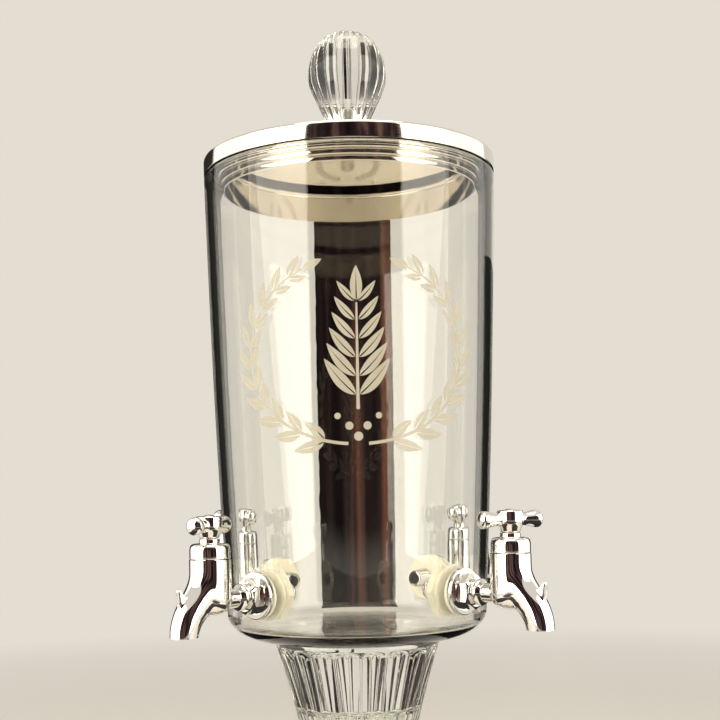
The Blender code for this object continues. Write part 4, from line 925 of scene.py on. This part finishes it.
flange_radius, flange_top, chamfer, bead_radius = 11.5 * mm, flange_face + 2.6 * mm, 1.1 * mm, 6.5 * mm
flange = turned("flange", eased([(bore, flange_face, 0), (flange_radius, flange_face, 0.5 * mm),
                                 (flange_radius, flange_top, 0.7 * mm), (8 * mm, flange_top, 0),
                                 (bore, flange_top, 0)], 4), 72, ring=True)
hexagon = hexagon_nut("hexagon", 8.7 * mm, bore, flange_face + 2.5 * mm, flange_face + 9.2 * mm, chamfer)
bead_low = bead_end - 5.4 * mm
bead = turned("bead", eased([(bore, bead_low, 0), (5.2 * mm, bead_low, 0),
                             (bead_radius, bead_end - 3.6 * mm, 1.4 * mm),
                             (bead_radius, bead_end - 1.6 * mm, 1.4 * mm),
                             (4.6 * mm, bead_end, 0), (bore, bead_end, 0)], 5), 72, ring=True)

def threaded(name, low, high, radius, hole, pitch, depth, sides=48, steps=8):
    """A bored, threaded rod; the thread fades out at its last turn."""
    rings = [round_ring(hole, high, sides)]
    for height in between(high, low, int((high - low) / pitch * steps)):
        ring = []
        for a in around(sides):
            wave = abs(2 * ((height / pitch - a / (2 * math.pi)) % 1) - 1)
            fade = min(1.0, (height - low) / pitch, (high - height) / pitch)
            reach = radius - depth * (1 - fade + fade * wave)
            ring.append(polar(reach, a, height))
        rings.append(ring)
    rings.append(round_ring(hole, low, sides))
    return loft(name, rings, ring=True, sharp_degrees=80)

stub = threaded("stub", stub_end, flange_face + 0.2 * mm, radius=4.7 * mm, hole=bore, pitch=1.25 * mm,
                depth=0.45 * mm)
inlet_mesh = moved(joined("tap_inlet", [flange, hexagon, bead, stub]), along_inlet)
print("inlet faces:", len(inlet_mesh.polygons))

# %% [markdown]
# ## Taps: bonnet, handle and valve
#
# The bonnet screws into the barrel and guides the spindle. The handle is a cast T: a hub with two arms that
# are thin at the hub and flare like trumpets. It is merged the same way as the body, then drilled for its
# screw. The spindle's thread runs in the bonnet, which is why a turn lifts the valve. Nobody can look into
# the bonnet, so only the spindle's thread is drawn.

# %% Bonnet and handle
bonnet_low = barrel_top + touch
bonnet_mesh = turned("tap_bonnet", eased([
    *in_mm((3.2, 28.5, 0), (4.8, 28.5, 0.3), (4.8, 26.3, 0.5)), (barrel_radius, 26.3 * mm, 3.2 * mm),
    (barrel_radius, bonnet_low, 0.3 * mm), (6.1 * mm, bonnet_low, 0.2 * mm),
    *in_mm((6.1, 11.8, 0.3), (4.5, 11.8, 0), (4.5, 25.1, 0), (3.2, 25.1, 0))], 6), 72, ring=True)
hub_low, hub_top, arm_height, arm_length = 28.8 * mm, 38.9 * mm, 34.7 * mm, 15.6 * mm
hub = turned("hub", eased([(0, hub_top, 0), (6.2 * mm, hub_top, 0.9 * mm), (6.1 * mm, 33 * mm, 1.5 * mm),
                           (4.6 * mm, hub_low, 0.3 * mm), (0, hub_low, 0)], 5), 64)
arm_profile = []
for share in between(1, -1, 48):
    radius = (2.85 + 1.3 * smooth_step((abs(share) - 0.38) / 0.52)) * mm
    if abs(share) > 0.92:
        radius -= 0.9 * mm * ((abs(share) - 0.92) / 0.08) ** 2
    arm_profile.append((radius, arm_length * share))
ends = [(0, 0.8), (1.4, 0.7), (2.5, 0.35)]
ends = [(radius * mm, arm_length + bulge * mm) for radius, bulge in ends]
arms = turned("arms", [*ends, *arm_profile, *[(radius, -height) for radius, height in reversed(ends)]], 48)
arms = moved(arms, Matrix.Translation((0, 0, arm_height)) @ along_inlet)
solid_handle = merged("handle", [hub, arms], voxel=0.2 * mm, smoothing_steps=5)
socket = turned("socket", [(0, hub_top + over), (3.15 * mm, hub_top + over), (3.15 * mm, 37.9 * mm),
                           (1.25 * mm, 37.9 * mm), (1.25 * mm, 34.4 * mm), (2.4 * mm, 34.4 * mm),
                           (2.4 * mm, hub_low - over), (0, hub_low - over)], 48)
handle_solid = smoothed(with_cuts("tap_handle", solid_handle, [socket]), 45)
screw_profile = in_mm((0, 39.6, 0), (2.0, 39.4, 0.6), (3.0, 38.8, 0.4), (3.0, 38.2, 0.1), (1.1, 38.2, 0),
                      (1.1, 35, 0.2), (0, 35, 0))
screw_mesh = turned("tap_handle_screw", eased(screw_profile, 5), 48)
print("bonnet and handle faces:", len(bonnet_mesh.polygons), len(handle_solid.polygons))

# %% Spindle, jumper, washer and ring
drawn_pitch = 2.5 * mm  # twice the real 1.25 mm of a turn, which would be too fine to show
stem_profile = in_mm((0, 34.1, 0), (2.2, 34.1, 0.3), (2.2, 28.8, 0), (3, 28.8, 0.1), (3, 26.7, 0.1),
                     (1.8, 26.7, 0), (1.8, 25.3, 0), (3, 25.3, 0.1), (3, 19.9, 0), (0, 19.9, 0))
jumper_profile = in_mm((0, 13.9, 0), (1.2, 13.9, 0.2), (1.2, 9.7, 0), (4.4, 9.7, 0.3), (4.4, 8.4, 0.2),
                       (0, 8.4, 0))
washer_profile = in_mm((0, 8.1, 0), (4.2, 8.1, 0.2), (4.2, 6.3, 0.5), (0, 6.3, 0))
spindle_mesh = joined("tap_spindle", [
    threaded("spindle_thread", 10 * mm, 20 * mm, radius=4.2 * mm, hole=1.5 * mm, pitch=drawn_pitch,
             depth=0.5 * mm, sides=40, steps=12),
    turned("spindle_stem", eased(stem_profile, 3), 40),
])
jumper_mesh = turned("tap_jumper", eased(jumper_profile, 3), 40)
washer_mesh = turned("tap_seat_washer", eased(washer_profile, 4), 40)
ring_mesh = turned("tap_spindle_ring", quarter(2.6 * mm, 26 * mm, 0.4 * mm, 180, -150, 11), 40, ring=True)
print("valve:", spindle_mesh.name, jumper_mesh.name, washer_mesh.name, ring_mesh.name)

# %% [markdown]
# ## Taps: gaskets and back nut
#
# A flat washer can't seal on a round glass wall, so the gaskets are moulded to the wall's curve on one side.
# Here each point of that side is set on the bowl's surface by its own height and distance from the middle.
# The big nylon nut inside pulls the flange against the glass and is tightened by hand, so it is thick.

# %% Gaskets and back nut
def on_glass(side, upward, inside):
    """How far out the glass is, in the tap's frame, at a point beside and above the inlet's axis."""
    radius = bowl_radius(tap_height - bowl_base + upward) - (bowl_wall if inside else 0)
    return math.sqrt(radius * radius - side * side) - tap_reach

def moulded_ring(name, hole, radius, flat_face, inside):
    """A gasket with one flat face, a rounded rim and one face that follows the glass."""
    rings = []
    gap = -touch if inside else touch
    soft = 0.5 * mm
    toward = 1 if inside else -1
    for reach, from_flat, from_glass in [(hole, 0, None), (radius - soft, 0, None), (radius, soft, None),
                                         (radius, None, soft), (radius - soft, None, 0), (hole, None, 0)]:
        ring = []
        for a in around(72):
            side, upward = reach * math.cos(a), reach * math.sin(a)
            if from_glass is None:
                out = flat_face + toward * from_flat
            else:
                out = on_glass(side, upward, inside) + gap - toward * from_glass
            ring.append((out, side, upward))
        rings.append(ring)
    return loft(name, rings, ring=True, sharp_degrees=50)

inner_gasket = moulded_ring("tap_inner_gasket", 5.0 * mm, 12.6 * mm, nut_face + touch, True)
outer_gasket = moulded_ring("tap_outer_gasket", 5.0 * mm, 11.3 * mm, flange_face - touch, False)
nut = hexagon_nut("tap_back_nut", 13.6 * mm, 5.0 * mm, nut_end, nut_face, chamfer)
back_nut = moved(nut, along_inlet @ turned_by(30))
print("glass at the inlet, in mm:", round(on_glass(0, 0, False) / mm, 2), round(on_glass(0, 0, True) / mm, 2))

# %% [markdown]
# ## Taps: setting them round the bowl
#
# One set of meshes stands at four places. Each tap's frame has its origin on the valve's axis and points
# away from the bowl. The fixed pieces ride on the whole, the jumper and its washer only rise, and the
# handle, its screw, the spindle and the ring rise and turn. The handles stand as they were left.

# %% Four taps
handle_angles = {"front_left": 22.6, "front_right": 64.0, "rear_left": 166.7, "rear_right": 12.0}
chrome, brass = (chrome_plate, "chrome"), (machined_brass, "brass")
nylon, rubber = (natural_nylon, "nylon"), (seal_rubber, "rubber")
fixed = {"body": (casting_mesh, *chrome), "bonnet": (bonnet_mesh, *chrome),
         "outer_gasket": (outer_gasket, *nylon), "inner_gasket": (inner_gasket, *nylon),
         "back_nut": (back_nut, *nylon)}
rising = {"jumper": (jumper_mesh, *brass), "seat_washer": (washer_mesh, *rubber)}
turning = {"handle": (handle_solid, *chrome), "handle_screw": (screw_mesh, *chrome),
           "spindle": (spindle_mesh, *brass), "spindle_ring": (ring_mesh, *rubber)}
for side, azimuth in tap_azimuths.items():
    tap_place = turned_by(azimuth) @ Matrix.Translation((tap_reach, 0, tap_height))
    valve_place = tap_place @ turned_by(handle_angles[side])
    for group, place, body in ((fixed, tap_place, "root"), (rising, valve_place, f"{side}_jumper"),
                               (turning, valve_place, f"{side}_handle")):
        for part, (mesh, material, slot) in group.items():
            node = f"{side}_tap_{part}"
            piece(f"{node}_fine", mesh, material, body, [node], place)
    piece(f"{side}_tap_inlet", inlet_mesh, chrome_plate, "root", (), tap_place)
print("tap pieces:", 4 * (len(fixed) + len(rising) + len(turning) + 1))

# %% [markdown]
# ## Frosted ornament
#
# The front of such a bowl is often sandblasted through a stencil. This one carries a plain wreath of leaves
# round an upright sprig. Frosting is a change of surface and not a layer, so each leaf is a very thin sheet,
# six hundredths of a millimetre off the glass, and it is bent to the wall point by point. Each leaf has a
# clear vein, as a stencil leaves one. A mask in the glass's own material would need the same shapes as an
# image.

# %% Leaves and stems on the wall
wreath_middle, wreath_across, wreath_up = 291 * mm, 55 * mm, 43 * mm
off_glass = 0.06 * mm

def on_wall(across, up):
    """A point just off the front of the bowl; across runs round the wall, up is its height on the table."""
    reach = bowl_radius(up - bowl_base) + off_glass
    angle = -math.pi / 2 + across / reach
    return polar(reach, angle, up)

def leaf(sheet, root, angle, length, width, bow, vein=0.35 * mm):
    """A pointed leaf in two halves with a clear vein between them; bow curves it to one side."""
    along = Vector((math.cos(angle), math.sin(angle)))
    beside = Vector((-along.y, along.x))
    rows, columns = 16, 3
    for hand in (-1, 1):
        grid = []
        for row in range(rows + 1):
            t = row / rows
            half = width / 2 * math.sin(math.pi * t ** 0.8) ** 0.85
            inner = min(vein * (1 - t), half)
            middle = root + along * (length * t) + beside * (bow * length * t * t)
            steps = [inner + (half - inner) * column / columns for column in range(columns + 1)]
            grid.append([sheet.verts.new(on_wall(*(middle + beside * (hand * step)))) for step in steps])
        for before, after in zip(grid, grid[1:]):
            for column in range(columns):
                corners = (before[column], before[column + 1], after[column + 1], after[column])
                sheet.faces.new(corners if hand < 0 else corners[::-1])

def stem(sheet, points, width):
    """A stem through points that thins towards its far end."""
    rows = []
    for index, point in enumerate(points):
        ahead = points[min(index + 1, len(points) - 1)] - points[max(index - 1, 0)]
        beside = Vector((-ahead.y, ahead.x)).normalized() * width / 2 * (1 - 0.45 * index / (len(points) - 1))
        rows.append([sheet.verts.new(on_wall(*(point + beside))), sheet.verts.new(on_wall(*(point - beside)))])
    for before, after in zip(rows, rows[1:]):
        sheet.faces.new((before[0], before[1], after[1], after[0]))

def berry(sheet, middle, radius):
    """A small round berry."""
    centre = sheet.verts.new(on_wall(*middle))
    rim = [sheet.verts.new(on_wall(middle.x + across, middle.y + up))
           for across, up, _ in round_ring(radius, 0, 24)]
    for here, after in zip(rim, rim[1:] + rim[:1]):
        sheet.faces.new((centre, here, after))

print("middle of the wreath at", wreath_middle / mm, "mm")

# %% Wreath
def wreath_point(degrees):
    """A point on the right-hand branch; 0 is straight out to the right and -90 is the bottom."""
    a = math.radians(degrees)
    return Vector((wreath_across * math.cos(a), wreath_middle + wreath_up * math.sin(a)))

sheet = bmesh.new()
for hand in (-1, 1):
    mirrored = [Vector((hand * spot.x, spot.y)) for spot in map(wreath_point, between(-85, 63, 60))]
    stem(sheet, mirrored, 1.5 * mm)
    for index, degrees in enumerate((-74, -61, -48, -35, -22, -9, 4, 17, 30, 42, 53)):
        root, ahead = wreath_point(degrees), wreath_point(degrees + 1)
        way = math.atan2(ahead.y - root.y, ahead.x - root.x)
        size = 1.0 - 0.03 * index
        for outward, length, width in ((-1, 15.5, 5.6), (1, 12.5, 4.8)):
            turn_out = way + outward * math.radians(36)
            angle = turn_out if hand > 0 else math.pi - turn_out
            start = Vector((hand * root.x, root.y)) + Vector((math.cos(angle), math.sin(angle))) * 1.1 * mm
            leaf(sheet, start, angle, length * size * mm, width * size * mm, -0.14 * outward * hand, 0.3 * mm)
    last, before_last = mirrored[-1], mirrored[-3]
    leaf(sheet, last, math.atan2(last.y - before_last.y, last.x - before_last.x), 10 * mm, 4 * mm, 0, 0.25 * mm)
    for across, up, radius in ((4.2, -34.6, 1.9), (9.6, -30.0, 1.5)):
        berry(sheet, Vector((hand * across * mm, wreath_middle + up * mm)), radius * mm)
berry(sheet, Vector((0, wreath_middle - 39.5 * mm)), 2.1 * mm)

print("wreath faces:", len(sheet.faces))

# %% Upright sprig
upright = [Vector((0, wreath_middle + up * mm)) for up in between(-27, 22, 20)]
stem(sheet, upright, 1.6 * mm)
for pair in range(6):
    root = Vector((0, wreath_middle + (-21 + 8.6 * pair) * mm))
    size = 1.0 - 0.09 * pair
    for hand in (-1, 1):
        angle = math.radians(90 - hand * 50)
        start = root + Vector((math.cos(angle), math.sin(angle))) * 1.2 * mm
        leaf(sheet, start, angle, 22 * mm * size, 6.2 * mm * size, 0.16 * hand)
leaf(sheet, upright[-1] + Vector((0, 1 * mm)), math.radians(90), 16 * mm, 5.6 * mm, 0)
ornament_mesh = as_mesh(sheet, "frosted_wreath")
ornament_mesh.shade_smooth()
piece("frosted_wreath", ornament_mesh, frosted_glass, "root")
heights = [vertex.co.z / mm for vertex in ornament_mesh.vertices]
print(f"ornament from {min(heights):.0f} to {max(heights):.0f} mm; faces: {len(ornament_mesh.polygons)}")
